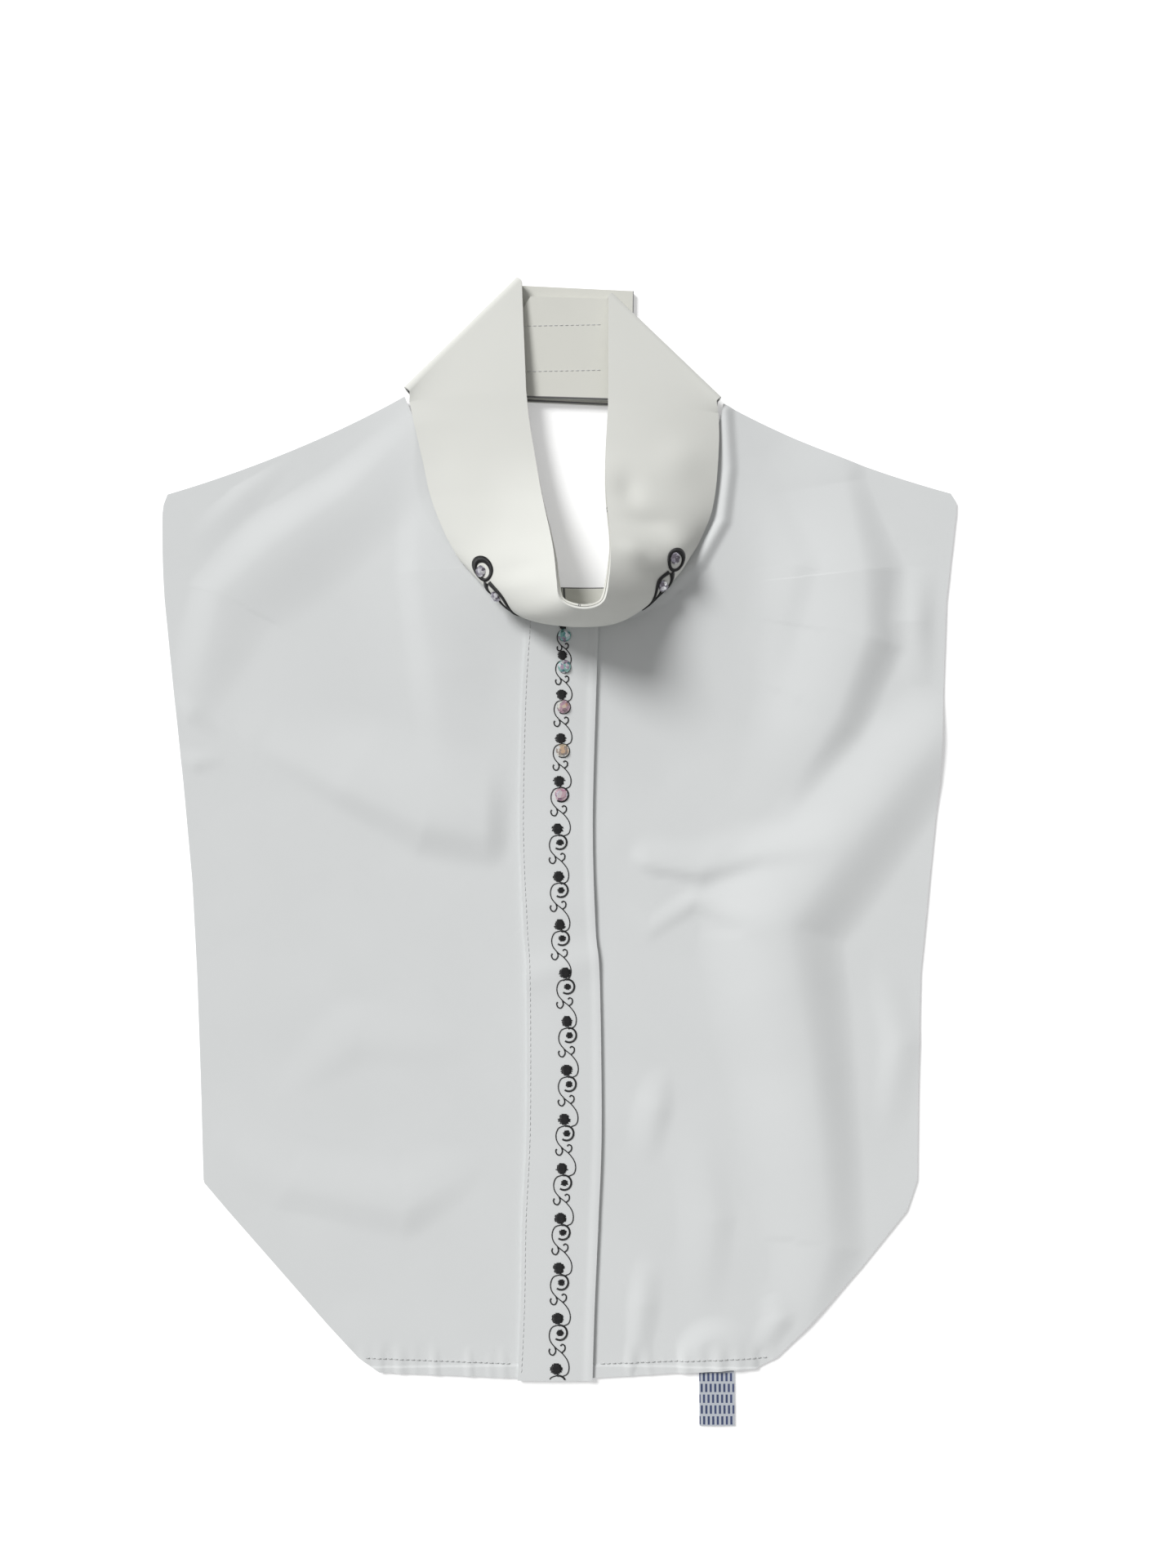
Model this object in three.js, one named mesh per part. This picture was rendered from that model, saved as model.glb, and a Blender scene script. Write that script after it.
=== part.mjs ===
// Show dickey: a bib front in two halves under a placket, with a stand collar
// whose ends fold over each other at the back. It lies flat, face up.
// Millimetres. +X is to the right of the garment as laid, +Y towards the collar,
// +Z up. The origin is on the surface it lies on, under the middle of its box.
import * as THREE from 'three';

// ---- driving sizes -------------------------------------------------------
const BIB_WALL = 1.2;
const PLACKET_WALL = 1.0;
const COLLAR_WALL = 1.0; // the outer cloth and the lining, each
const GAP = 0.3; // between pieces that are sewn or lie together
const CENTRE_X = 1.0; // where the two fronts meet
const NECK = { x: 1.5, y: 165, halfWidth: 66, drop: 57.5 };
const NECK_RISE = { front: 8, side: 3, frontReach: 105, sideReach: 45 };
const PLACKET_CALM = { from: 21, to: 34 }; // folds die out next to the placket
const LABEL = { width: 14.8, left: 60.1, low: -250.5, high: -219.5, wall: 0.8 };
const LABEL_LIFT = { height: 1.3, flat: 9, reach: 20, x: 67.5, y: -224 };
const STONE = { radius: 3, girdle: 0.6, table: 1.7, height: 2.0, sides: 8 };
const BACK = { tabMid: 1.15, bandMid: 3.75, leftMid: 6.6, rightMid: 7.2 };

const FRONT_ROWS = 32;
const FRONT_COLUMNS = 15;
const PLACKET_ROWS = 34;
const COLLAR_COLUMNS = 7;

// ---- small helpers -------------------------------------------------------
const clamp = (v, low, high) => Math.min(Math.max(v, low), high);
const mix = (a, b, t) => a + (b - a) * t;
const ease = (t) => t * t * (3 - 2 * t);
const span = (a, b, t) => ease(clamp((t - a) / (b - a), 0, 1));

// A value read from rows of a table at position `at` of column `key`.
function along(rows, key, column, at) {
  const last = rows.length - 1;
  if (at <= rows[0][key]) return rows[0][column];
  for (let i = 0; i < last; i++) {
    const [a, b] = [rows[i], rows[i + 1]];
    if (at <= b[key]) return mix(a[column], b[column], (at - a[key]) / (b[key] - a[key]));
  }
  return rows[last][column];
}

// ---- the bib's surface ---------------------------------------------------
// Each fold is a crest along a short path. `high` is its height, `lit` and
// `shade` the widths over which it falls to the left and right of the path.
const FOLDS = [
  { name: 'shoulder sweep', path: [
    { x: -66, y: 180, high: 0.5, lit: 26, shade: 12 },
    { x: -95, y: 151, high: 2.2, lit: 30, shade: 17 },
    { x: -127, y: 128, high: 2.6, lit: 34, shade: 20 },
    { x: -149, y: 107, high: 2.0, lit: 30, shade: 18 },
    { x: -160, y: 62, high: 0.5, lit: 14, shade: 14 }] },
  { name: 'left trough edge', path: [
    { x: -61, y: 150, high: 0.2, lit: 24, shade: 12 },
    { x: -62, y: 117, high: 1.4, lit: 30, shade: 12 },
    { x: -54, y: 72, high: 1.2, lit: 30, shade: 14 },
    { x: -49, y: 34, high: 0.2, lit: 20, shade: 14 }] },
  { name: 'left cross fold', path: [
    { x: -20, y: -1, high: 2.2, lit: 36, shade: 17 },
    { x: -58, y: 6, high: 3.2, lit: 40, shade: 17 },
    { x: -94, y: 22, high: 2.4, lit: 36, shade: 13 },
    { x: -131, y: 41, high: 0.3, lit: 24, shade: 9 }], shadeOnLeft: true },
  { name: 'left hem swell', path: [
    { x: -37, y: -142, high: 0.2, lit: 20, shade: 12 },
    { x: -66, y: -160, high: 1.2, lit: 22, shade: 14 },
    { x: -116, y: -150, high: 0.9, lit: 20, shade: 14 },
    { x: -140, y: -134, high: 0.1, lit: 16, shade: 12 }], shadeOnLeft: true },
  { name: 'right shoulder fold', path: [
    { x: 127, y: 158, high: 1.5, lit: 40, shade: 12 },
    { x: 134, y: 117, high: 5.4, lit: 46, shade: 21 },
    { x: 134, y: 88, high: 5.8, lit: 46, shade: 21 },
    { x: 121, y: 52, high: 3.8, lit: 40, shade: 17 },
    { x: 99, y: 16, high: 0.4, lit: 26, shade: 9 }], shadeOnLeft: true },
  { name: 'right edge fold', path: [
    { x: 164, y: 42, high: 2.4, lit: 26, shade: 22 },
    { x: 134, y: 7, high: 4.4, lit: 34, shade: 26 },
    { x: 112, y: -21, high: 5.4, lit: 38, shade: 28 },
    { x: 98, y: -39, high: 6.2, lit: 40, shade: 28 },
    { x: 102, y: -66, high: 5.8, lit: 40, shade: 26 },
    { x: 108, y: -99, high: 4.6, lit: 38, shade: 22 },
    { x: 112, y: -140, high: 3.8, lit: 36, shade: 20 },
    { x: 115, y: -175, high: 2.4, lit: 30, shade: 18 },
    { x: 106, y: -207, high: 0.6, lit: 20, shade: 12 }], shadeOnLeft: true },
  { name: 'right cross crease', path: [
    { x: 117, y: -3, high: 0.2, lit: 14, shade: 10 },
    { x: 86, y: -8, high: 1.2, lit: 16, shade: 8 },
    { x: 62, y: -16, high: 1.5, lit: 16, shade: 8 },
    { x: 40, y: -13, high: 1.2, lit: 14, shade: 8 }], shadeOnLeft: true },
];

function foldHeight(fold, x, y) {
  let nearest = { distance: Infinity };
  for (let i = 0; i < fold.path.length - 1; i++) {
    const [a, b] = [fold.path[i], fold.path[i + 1]];
    const [dx, dy] = [b.x - a.x, b.y - a.y];
    const t = clamp(((x - a.x) * dx + (y - a.y) * dy) / (dx * dx + dy * dy), 0, 1);
    const distance = Math.hypot(x - a.x - dx * t, y - a.y - dy * t);
    if (distance < nearest.distance) {
      const side = dx * (y - a.y) - dy * (x - a.x);
      nearest = { distance, a, b, t, left: side > 0 };
    }
  }
  const { distance, a, b, t, left } = nearest;
  const shaded = fold.shadeOnLeft ? left : !left;
  const width = shaded ? mix(a.shade, b.shade, t) : mix(a.lit, b.lit, t);
  return mix(a.high, b.high, t) * (1 - ease(clamp(distance / width, 0, 1)));
}

// The cloth climbs towards the collar seam, most of all at the front.
function neckHeight(x, y) {
  const dx = (x - NECK.x) / NECK.halfWidth;
  const below = Math.max(NECK.y - y, 0) / NECK.drop;
  const q = Math.hypot(dx, below);
  const frontness = q > 0 ? (below / q) ** 2 : 0;
  const distance = Math.max(q - 1, 0) * mix(NECK.halfWidth, NECK.drop, frontness);
  const reach = mix(NECK_RISE.sideReach, NECK_RISE.frontReach, frontness);
  const height = mix(NECK_RISE.side, NECK_RISE.front, frontness);
  return height * (1 - clamp(distance / reach, 0, 1)) ** 2;
}

// The hem is lifted a little where the label is sewn in behind it.
function labelHeight(x, y) {
  const away = Math.hypot(x - LABEL_LIFT.x, y - LABEL_LIFT.y);
  return LABEL_LIFT.height * (1 - span(LABEL_LIFT.flat, LABEL_LIFT.reach, away));
}

// The height of the bib's underside over the surface that it lies on.
function bibHeight(x, y) {
  const calm = span(PLACKET_CALM.from, PLACKET_CALM.to, Math.abs(x - CENTRE_X));
  const folds = FOLDS.reduce((sum, fold) => sum + foldHeight(fold, x, y), 0);
  return neckHeight(x, y) + calm * folds + labelHeight(x, y);
}

// ---- walls ---------------------------------------------------------------
// A closed wall between two grids of points of the same size, faces outwards.
// `lower` and `upper` are functions of (row, column) that give a Vector3.
function wall(rows, columns, lower, upper) {
  const points = [];
  const index = [];
  const at = (layer, row, column) => (layer * rows + row) * columns + column;
  for (const layer of [lower, upper]) {
    for (let row = 0; row < rows; row++) {
      for (let column = 0; column < columns; column++) {
        points.push(...layer(row, column).toArray());
      }
    }
  }
  const quad = (a, b, c, d) => index.push(a, b, c, a, c, d);
  for (let row = 0; row < rows - 1; row++) {
    for (let column = 0; column < columns - 1; column++) {
      const [r, c] = [row + 1, column + 1];
      quad(at(1, row, column), at(1, row, c), at(1, r, c), at(1, r, column));
      quad(at(0, row, column), at(0, r, column), at(0, r, c), at(0, row, c));
    }
    const next = row + 1;
    quad(at(0, row, 0), at(1, row, 0), at(1, next, 0), at(0, next, 0));
    const end = columns - 1;
    quad(at(0, next, end), at(1, next, end), at(1, row, end), at(0, row, end));
  }
  for (let column = 0; column < columns - 1; column++) {
    const next = column + 1;
    quad(at(0, 0, next), at(1, 0, next), at(1, 0, column), at(0, 0, column));
    const end = rows - 1;
    quad(at(0, end, column), at(1, end, column), at(1, end, next), at(0, end, next));
  }
  const geometry = new THREE.BufferGeometry();
  geometry.setAttribute('position', new THREE.Float32BufferAttribute(points, 3));
  geometry.setIndex(index);
  geometry.computeVertexNormals();
  return geometry;
}

function piece(name, geometry, look) {
  const mesh = new THREE.Mesh(geometry, new THREE.MeshStandardMaterial(look));
  mesh.name = name;
  return mesh;
}

const COTTON = { color: 0xe9ebeb, roughness: 0.9, metalness: 0 };
const COLLAR_CLOTH = { color: 0xebebe4, roughness: 0.85, metalness: 0 };
const LINING_CLOTH = { color: 0xe4e4dc, roughness: 0.9, metalness: 0 };
const RIBBON = { color: 0xdfe2e6, roughness: 0.8, metalness: 0 };
const CRYSTAL = { color: 0xbcd4dc, roughness: 0.1, metalness: 0.2 };

// ---- the collar ----------------------------------------------------------
// Stations of the stand from the left back fold, round the front, to the right
// back fold. `s` is the neck seam, `b` the point that the band bends towards
// and `t` its top edge. The seam's height follows from the bib below it.
const SEAM_OVER_BIB = BIB_WALL + GAP + COLLAR_WALL + GAP / 2;
const STATIONS = [
  { sx: -66.8, sy: 193.5, bx: -41, by: 195, bz: 9.5, tx: -14.7, ty: 197, tz: 10 },
  { sx: -64, sy: 181, bx: -39, by: 182, bz: 10, tx: -13.2, ty: 183, tz: 11 },
  { sx: -60, sy: 164.5, bx: -36, by: 165, bz: 11.5, tx: -10.3, ty: 165, tz: 13 },
  { sx: -57.2, sy: 152, bx: -34, by: 151.5, bz: 13, tx: -8, ty: 151.5, tz: 17 },
  { sx: -53, sy: 140, bx: -33, by: 138.5, bz: 15, tx: -5.5, ty: 139, tz: 22.5 },
  { sx: -48, sy: 129.5, bx: -34, by: 126, bz: 16, tx: -3, ty: 127.5, tz: 28 },
  { sx: -41, sy: 119.5, bx: -37, by: 112.5, bz: 16, tx: -1, ty: 116, tz: 35 },
  { sx: -30, sy: 112.8, bx: -36.5, by: 101, bz: 13.5, tx: 0.3, ty: 104.5, tz: 41 },
  { sx: -16, sy: 109, bx: -22.5, by: 86.5, bz: 12, tx: 2.2, ty: 96, tz: 43.5 },
  { sx: 5, sy: 107.6, bx: 7, by: 80, bz: 16, tx: 10.5, ty: 92.5, tz: 45.5 },
  { sx: 27, sy: 108.3, bx: 34, by: 84, bz: 12.5, tx: 18.4, ty: 95.5, tz: 43.5 },
  { sx: 41.5, sy: 111.5, bx: 51, by: 99, bz: 12, tx: 20.8, ty: 106, tz: 39.5 },
  { sx: 52, sy: 117.5, bx: 56, by: 111, bz: 18, tx: 21.8, ty: 116.5, tz: 35 },
  { sx: 58, sy: 125, bx: 54, by: 121, bz: 22, tx: 22, ty: 125, tz: 31 },
  { sx: 63, sy: 134, bx: 50, by: 132, bz: 20, tx: 21.4, ty: 134, tz: 26.5 },
  { sx: 66.8, sy: 143, bx: 47, by: 142, bz: 17.5, tx: 20.7, ty: 143, tz: 22.5 },
  { sx: 69, sy: 154, bx: 45, by: 154, bz: 15, tx: 20.3, ty: 154, tz: 18.5 },
  { sx: 70.2, sy: 167, bx: 45.5, by: 167, bz: 13, tx: 20.4, ty: 167, tz: 14.5 },
  { sx: 70.8, sy: 178, bx: 46, by: 178.5, bz: 11.5, tx: 21, ty: 179, tz: 12.5 },
  { sx: 70.6, sy: 188.5, bx: 46, by: 189.5, bz: 10.5, tx: 21.6, ty: 190.5, tz: 11 },
];
// The back folds: a slanting line from the seam edge to the top edge, at which
// the band turns under itself, and the end of the layer that lies beneath.
const LEFT_FOLD = { low: [-66.9, 198], high: [-17, 248.6], mid: BACK.leftMid,
  under: BACK.tabMid, run: [0.997, -0.05], endLow: 100, endHigh: 50.5 };
const RIGHT_FOLD = { low: [70.2, 193.6], high: [21.8, 241.4], mid: BACK.rightMid,
  under: BACK.bandMid, run: [-0.9995, 0.03], endLow: 112, endHigh: 35 };

// Rows of the collar's grid: each gives the mid surface at v, 0 seam to 1 top.
function stationPoint(i, v) {
  const k = STATIONS[i];
  const seam = new THREE.Vector3(k.sx, k.sy, bibHeight(k.sx, k.sy) + SEAM_OVER_BIB);
  seam.z += i > 6 && i < 12 ? PLACKET_WALL + GAP : 0;
  const bend = new THREE.Vector3(k.bx, k.by, k.bz);
  const top = new THREE.Vector3(k.tx, k.ty, k.tz);
  return new THREE.QuadraticBezierCurve3(seam, bend, top).getPoint(v);
}

function foldLine(fold, v) {
  return new THREE.Vector3(mix(fold.low[0], fold.high[0], v),
    mix(fold.low[1], fold.high[1], v), fold.mid);
}

function foldRows(fold, firstStation) {
  const [dx, dy] = [fold.high[0] - fold.low[0], fold.high[1] - fold.low[1]];
  const away = new THREE.Vector3(-dy, dx, 0).normalize();
  if (away.y < 0) away.negate();
  const radius = (fold.mid - fold.under) / 2;
  const rows = [];
  for (const t of [0.35, 0.7, 1]) { // from the first station up to the fold
    rows.push((v) => stationPoint(firstStation, v).lerp(foldLine(fold, v), t));
  }
  for (const turn of [45, 90, 135, 180]) {
    const angle = THREE.MathUtils.degToRad(turn);
    rows.push((v) => foldLine(fold, v).addScaledVector(away, radius * Math.sin(angle))
      .add(new THREE.Vector3(0, 0, -radius * (1 - Math.cos(angle)))));
  }
  for (const t of [0.25, 0.5, 0.75, 1]) { // the layer beneath, to its cut end
    rows.push((v) => {
      const start = foldLine(fold, v);
      const length = t * mix(fold.endLow, fold.endHigh, v);
      start.z = fold.under;
      return start.add(new THREE.Vector3(fold.run[0] * length, fold.run[1] * length, 0));
    });
  }
  return rows;
}

function collarRows() {
  const rows = foldRows(LEFT_FOLD, 0).reverse();
  STATIONS.forEach((_, i) => rows.push((v) => stationPoint(i, v)));
  return rows.concat(foldRows(RIGHT_FOLD, STATIONS.length - 1));
}

// Points of the mid surface and its outward normals, and a wall between two
// distances from it: outwards for the outer cloth, inwards for the lining.
function collarGrid() {
  const rows = collarRows();
  const grid = rows.map((row) => Array.from({ length: COLLAR_COLUMNS },
    (_, c) => row(c / (COLLAR_COLUMNS - 1))));
  const normals = grid.map((line, r) => line.map((_, c) => {
    const above = grid[Math.min(r + 1, grid.length - 1)][c];
    const below = grid[Math.max(r - 1, 0)][c];
    const right = line[Math.min(c + 1, COLLAR_COLUMNS - 1)];
    const left = line[Math.max(c - 1, 0)];
    const lengthwise = new THREE.Vector3().subVectors(above, below);
    const across = new THREE.Vector3().subVectors(right, left);
    return lengthwise.cross(across).normalize();
  }));
  return { grid, normals };
}

function collarWall({ grid, normals }, inside, outside) {
  const last = COLLAR_COLUMNS - 1; // columns run backwards, so that faces point out
  const layer = (distance) => (r, c) =>
    grid[r][last - c].clone().addScaledVector(normals[r][last - c], distance);
  return wall(grid.length, COLLAR_COLUMNS, layer(inside), layer(outside));
}

// ---- the two fronts ------------------------------------------------------
// Rungs run from the inner edge (centre line, then neck seam) to the outer edge
// (hem corner, slanting corner, side). The last rung is the shoulder line.
const UNDER_COLLAR = 1.2; // the neck edge reaches this far under the collar
const LEFT_RUNGS = [
  { ix: 1, iy: -231.4, ox: -76, oy: -228.3 }, { ix: 1, iy: -223, ox: -84.8, oy: -222.6 },
  { ix: 1, iy: -209, ox: -98.5, oy: -208.5 }, { ix: 1, iy: -185, ox: -119.5, oy: -185.5 },
  { ix: 1, iy: -160, ox: -141.5, oy: -161.5 }, { ix: 1, iy: -146, ox: -152.6, oy: -149 },
  { ix: 1, iy: -105, ox: -154.8, oy: -105 }, { ix: 1, iy: -63, ox: -157.4, oy: -60 },
  { ix: 1, iy: -25, ox: -160.4, oy: -20 }, { ix: 1, iy: 15, ox: -165.3, oy: 23 },
  { ix: 1, iy: 60, ox: -170.8, oy: 66 }, { ix: 1, iy: 90, ox: -174, oy: 92 },
  { ix: 1, iy: 106.6, ox: -175.6, oy: 105 }, { ix: -16, iy: 108, ox: -176.5, oy: 116 },
  { ix: -30, iy: 112, ox: -177, oy: 126 }, { ix: -41, iy: 118.6, ox: -177.2, oy: 133 },
  { ix: -52.8, iy: 139.2, ox: -177.4, oy: 139 }, { ix: -60, iy: 164, ox: -177.4, oy: 144 },
  { ix: -64, iy: 181, ox: -177, oy: 148 }, { ix: -70.6, iy: 196.8, ox: -175.4, oy: 152.6 },
];
const RIGHT_RUNGS = [
  { ix: 1, iy: -231.4, ox: 84, oy: -226.6 }, { ix: 1, iy: -223, ox: 93.5, oy: -222 },
  { ix: 1, iy: -209, ox: 107.5, oy: -208.5 }, { ix: 1, iy: -185, ox: 129.5, oy: -185 },
  { ix: 1, iy: -160, ox: 149.5, oy: -161 }, { ix: 1, iy: -146, ox: 154.3, oy: -148 },
  { ix: 1, iy: -105, ox: 155.6, oy: -105 }, { ix: 1, iy: -63, ox: 157.4, oy: -60 },
  { ix: 1, iy: -25, ox: 162, oy: -20 }, { ix: 1, iy: 15, ox: 167.2, oy: 23 },
  { ix: 1, iy: 60, ox: 170, oy: 66 }, { ix: 1, iy: 90, ox: 171.3, oy: 92 },
  { ix: 1, iy: 106.6, ox: 172, oy: 105 }, { ix: 27, iy: 107.4, ox: 173.3, oy: 114 },
  { ix: 41.5, iy: 110.6, ox: 174.4, oy: 123 }, { ix: 52, iy: 116.6, ox: 175.4, oy: 130 },
  { ix: 62.8, iy: 133.2, ox: 176.4, oy: 138 }, { ix: 69, iy: 153, ox: 177.2, oy: 144 },
  { ix: 70.8, iy: 178, ox: 177.4, oy: 149 }, { ix: 74.4, iy: 193.4, ox: 175, oy: 153 },
];
const SHOULDER_SAG = 3; // the shoulder line's dip below a straight line

// The point at `t` across and `r` up the rungs; `side` is -1 left, +1 right.
function frontPoint(rungs, side, r, t) {
  const low = Math.min(Math.floor(r), rungs.length - 2);
  const f = r - low;
  const [a, b] = [rungs[low], rungs[low + 1]];
  const neck = span(rungs.length - 8, rungs.length - 7, r) * UNDER_COLLAR;
  const inner = { x: mix(a.ix, b.ix, f) + side * (GAP / 2 - neck), y: mix(a.iy, b.iy, f) };
  const outer = { x: mix(a.ox, b.ox, f), y: mix(a.oy, b.oy, f) };
  const sag = span(rungs.length - 4, rungs.length - 1, r) * SHOULDER_SAG;
  return {
    x: mix(inner.x, outer.x, t),
    y: mix(inner.y, outer.y, t) - sag * 4 * t * (1 - t),
  };
}

function front(rungs, side) {
  const layer = (lift) => (row, column) => {
    const across = side < 0 ? FRONT_COLUMNS - 1 - column : column;
    const t = across / (FRONT_COLUMNS - 1);
    const r = (row / (FRONT_ROWS - 1)) * (rungs.length - 1);
    const { x, y } = frontPoint(rungs, side, r, t);
    return new THREE.Vector3(x, y, bibHeight(x, y) + lift);
  };
  return wall(FRONT_ROWS, FRONT_COLUMNS, layer(0), layer(BIB_WALL));
}

// ---- the placket ---------------------------------------------------------
// It lies on the two fronts. The rows give its left and right edges.
const PLACKET = [
  { y: -231.4, left: -17.2, right: 14.6 }, { y: -200, left: -15.9, right: 15.6 },
  { y: -165, left: -15.4, right: 17.2 }, { y: -125, left: -13.7, right: 18.6 },
  { y: -62, left: -14, right: 17.8 }, { y: -40, left: -15.3, right: 16 },
  { y: 5, left: -17.2, right: 14.8 }, { y: 60, left: -16.2, right: 16.2 },
  { y: 92, left: -14.2, right: 17.4 }, { y: 105.5, left: -13.8, right: 17.6 },
];
const PLACKET_COLUMNS = 5;
const PLACKET_TOP = BIB_WALL + GAP + PLACKET_WALL;

function placket() {
  const [low, high] = [PLACKET[0].y, PLACKET[PLACKET.length - 1].y];
  const layer = (lift) => (row, column) => {
    const y = mix(low, high, row / (PLACKET_ROWS - 1));
    const t = column / (PLACKET_COLUMNS - 1);
    const x = mix(along(PLACKET, 'y', 'left', y), along(PLACKET, 'y', 'right', y), t);
    return new THREE.Vector3(x, y, bibHeight(x, y) + lift);
  };
  const base = BIB_WALL + GAP;
  return wall(PLACKET_ROWS, PLACKET_COLUMNS, layer(base), layer(base + PLACKET_WALL));
}

// ---- the label -----------------------------------------------------------
function label() {
  const { left, width, low, high, wall: thick } = LABEL;
  const geometry = new THREE.BoxGeometry(width, high - low, thick);
  return geometry.translate(left + width / 2, (low + high) / 2, thick / 2);
}

// ---- the stones ----------------------------------------------------------
// A flat-backed cut stone: a disc with sloping facets up to a flat table.
function stone(scale = 1) {
  const { radius, girdle, table, height, sides } = STONE;
  const profile = [[0, 0], [radius, 0], [radius, girdle], [table, height], [0, height]]
    .map(([r, z]) => new THREE.Vector2(r * scale, z));
  return new THREE.LatheGeometry(profile, sides).rotateX(Math.PI / 2);
}

function seatStone(mesh, base, normal) {
  const up = new THREE.Vector3(0, 0, 1);
  mesh.quaternion.setFromUnitVectors(up, normal);
  mesh.position.copy(base).addScaledVector(normal, GAP);
  return mesh;
}

const PLACKET_STONES = [
  { x: 2.4, y: 87.6 }, { x: 2.3, y: 74 }, { x: 1.9, y: 56.4 },
  { x: 1.6, y: 37.2 }, { x: 0.9, y: 17.9 },
];
// Places on the collar: the row of the grid and the share of its height.
const COLLAR_STONES = [
  { name: 'stone_collar_left_upper', row: 17.15, v: 0.38 },
  { name: 'stone_collar_left_lower', row: 18.2, v: 0.42 },
  { name: 'stone_collar_right_upper', row: 23.6, v: 0.44 },
  { name: 'stone_collar_right_lower', row: 22.3, v: 0.42 },
];

function placketStones() {
  return PLACKET_STONES.map(({ x, y }, i) => {
    const step = 2;
    const slope = (bibHeight(x, y + step) - bibHeight(x, y - step)) / (2 * step);
    const normal = new THREE.Vector3(0, -slope, 1).normalize();
    const base = new THREE.Vector3(x, y, bibHeight(x, y) + PLACKET_TOP);
    return seatStone(piece(`stone_placket_${i + 1}`, stone(), CRYSTAL), base, normal);
  });
}

function collarStones({ grid, normals }) {
  return COLLAR_STONES.map(({ name, row, v }) => {
    const column = v * (COLLAR_COLUMNS - 1);
    const [r, c] = [Math.floor(row), Math.floor(column)];
    const [f, g] = [row - r, column - c];
    const blend = (table) => {
      const low = table[r][c].clone().lerp(table[r][c + 1], g);
      return low.lerp(table[r + 1][c].clone().lerp(table[r + 1][c + 1], g), f);
    };
    const normal = blend(normals).normalize();
    const over = COLLAR_WALL + GAP;
    const base = blend(grid).addScaledVector(normal, over);
    return seatStone(piece(name, stone(0.92), CRYSTAL), base, normal);
  });
}

// ---- the whole -----------------------------------------------------------
const dickey = new THREE.Group();
const collar = collarGrid();
const half = GAP / 2;
dickey.add(
  piece('front_left', front(LEFT_RUNGS, -1), COTTON),
  piece('front_right', front(RIGHT_RUNGS, 1), COTTON),
  piece('placket', placket(), COTTON),
  piece('collar_outer', collarWall(collar, half, half + COLLAR_WALL), COLLAR_CLOTH),
  piece('collar_lining', collarWall(collar, -half - COLLAR_WALL, -half), LINING_CLOTH),
  piece('label', label(), RIBBON),
  ...placketStones(),
  ...collarStones(collar),
);

// Centre the whole on its own box and stand its lowest point on the surface.
dickey.updateMatrixWorld(true);
const box = new THREE.Box3().setFromObject(dickey, true);
const middle = box.getCenter(new THREE.Vector3());
dickey.position.set(-middle.x, -middle.y, -box.min.z);

export default dickey;
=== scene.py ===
"""Show dickey laid flat: cloth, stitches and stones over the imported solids."""
import math

import bpy
import numpy as np
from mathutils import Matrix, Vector


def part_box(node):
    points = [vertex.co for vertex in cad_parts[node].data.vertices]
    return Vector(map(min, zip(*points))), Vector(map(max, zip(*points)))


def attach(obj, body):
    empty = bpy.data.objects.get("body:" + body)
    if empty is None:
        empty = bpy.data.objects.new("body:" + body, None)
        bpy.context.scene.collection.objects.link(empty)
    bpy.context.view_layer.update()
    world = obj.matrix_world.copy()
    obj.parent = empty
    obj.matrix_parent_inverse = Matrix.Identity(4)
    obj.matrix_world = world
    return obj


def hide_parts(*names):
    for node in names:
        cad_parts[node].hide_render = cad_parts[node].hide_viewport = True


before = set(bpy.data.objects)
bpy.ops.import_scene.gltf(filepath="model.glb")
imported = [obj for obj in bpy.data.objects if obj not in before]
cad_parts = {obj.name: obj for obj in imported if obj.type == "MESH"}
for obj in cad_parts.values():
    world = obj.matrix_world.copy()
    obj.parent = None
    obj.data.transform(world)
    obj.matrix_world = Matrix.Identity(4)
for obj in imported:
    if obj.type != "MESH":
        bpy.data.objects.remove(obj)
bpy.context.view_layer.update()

bl_info = {
    "name": "Show dickey",
    "version": (1, 0, 0),
    "blender": (4, 5, 0),
    "location": "View3D > Sidebar > Dickey",
    "description": "Makes the cloth, embroidery and stones of a show dickey",
    "category": "Object",
}

MM = 0.001
rng = np.random.default_rng(7)

# The sketch that the sizes below are drawn in, in millimetres, lies against
# the frame as the label's lower left corner does.
LABEL = {"left": 60.1, "width": 14.8, "low": -250.5, "high": -219.5, "wall": 0.8}
_label_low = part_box("label")[0]
SHIFT = np.array([_label_low[0] / MM - LABEL["left"], _label_low[1] / MM - LABEL["low"], 0.0])

BIB_WALL, PLACKET_WALL, COLLAR_WALL, GAP = 1.2, 1.0, 1.0, 0.3
CENTRE_X = 1.0
PLACKET_TOP = BIB_WALL + GAP + PLACKET_WALL
LABEL_LIFT = {"x": 67.5, "y": -224, "high": 1.3, "flat": 9, "reach": 20}
PLACKET_CALM = (21, 34)  # the folds die out between these distances from the centre line
CREASE_CALM = (18, 26)  # and the small creases between these


# ---- array helpers --------------------------------------------------------
def mix(a, b, t):
    """A straight blend: a where t is 0, b where t is 1."""
    return a + (b - a) * t


def ease(t):
    """Smooth step: 3t^2 - 2t^3 of t held to 0..1."""
    t = np.clip(t, 0.0, 1.0)
    return t * t * (3 - 2 * t)


def span(a, b, t):
    """The smooth step of t from 0 at a to 1 at b."""
    return ease((t - a) / (b - a))


def unit(v):
    """Vectors over their own length."""
    return v / np.maximum(np.linalg.norm(v, axis=-1, keepdims=True), 1e-9)


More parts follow.
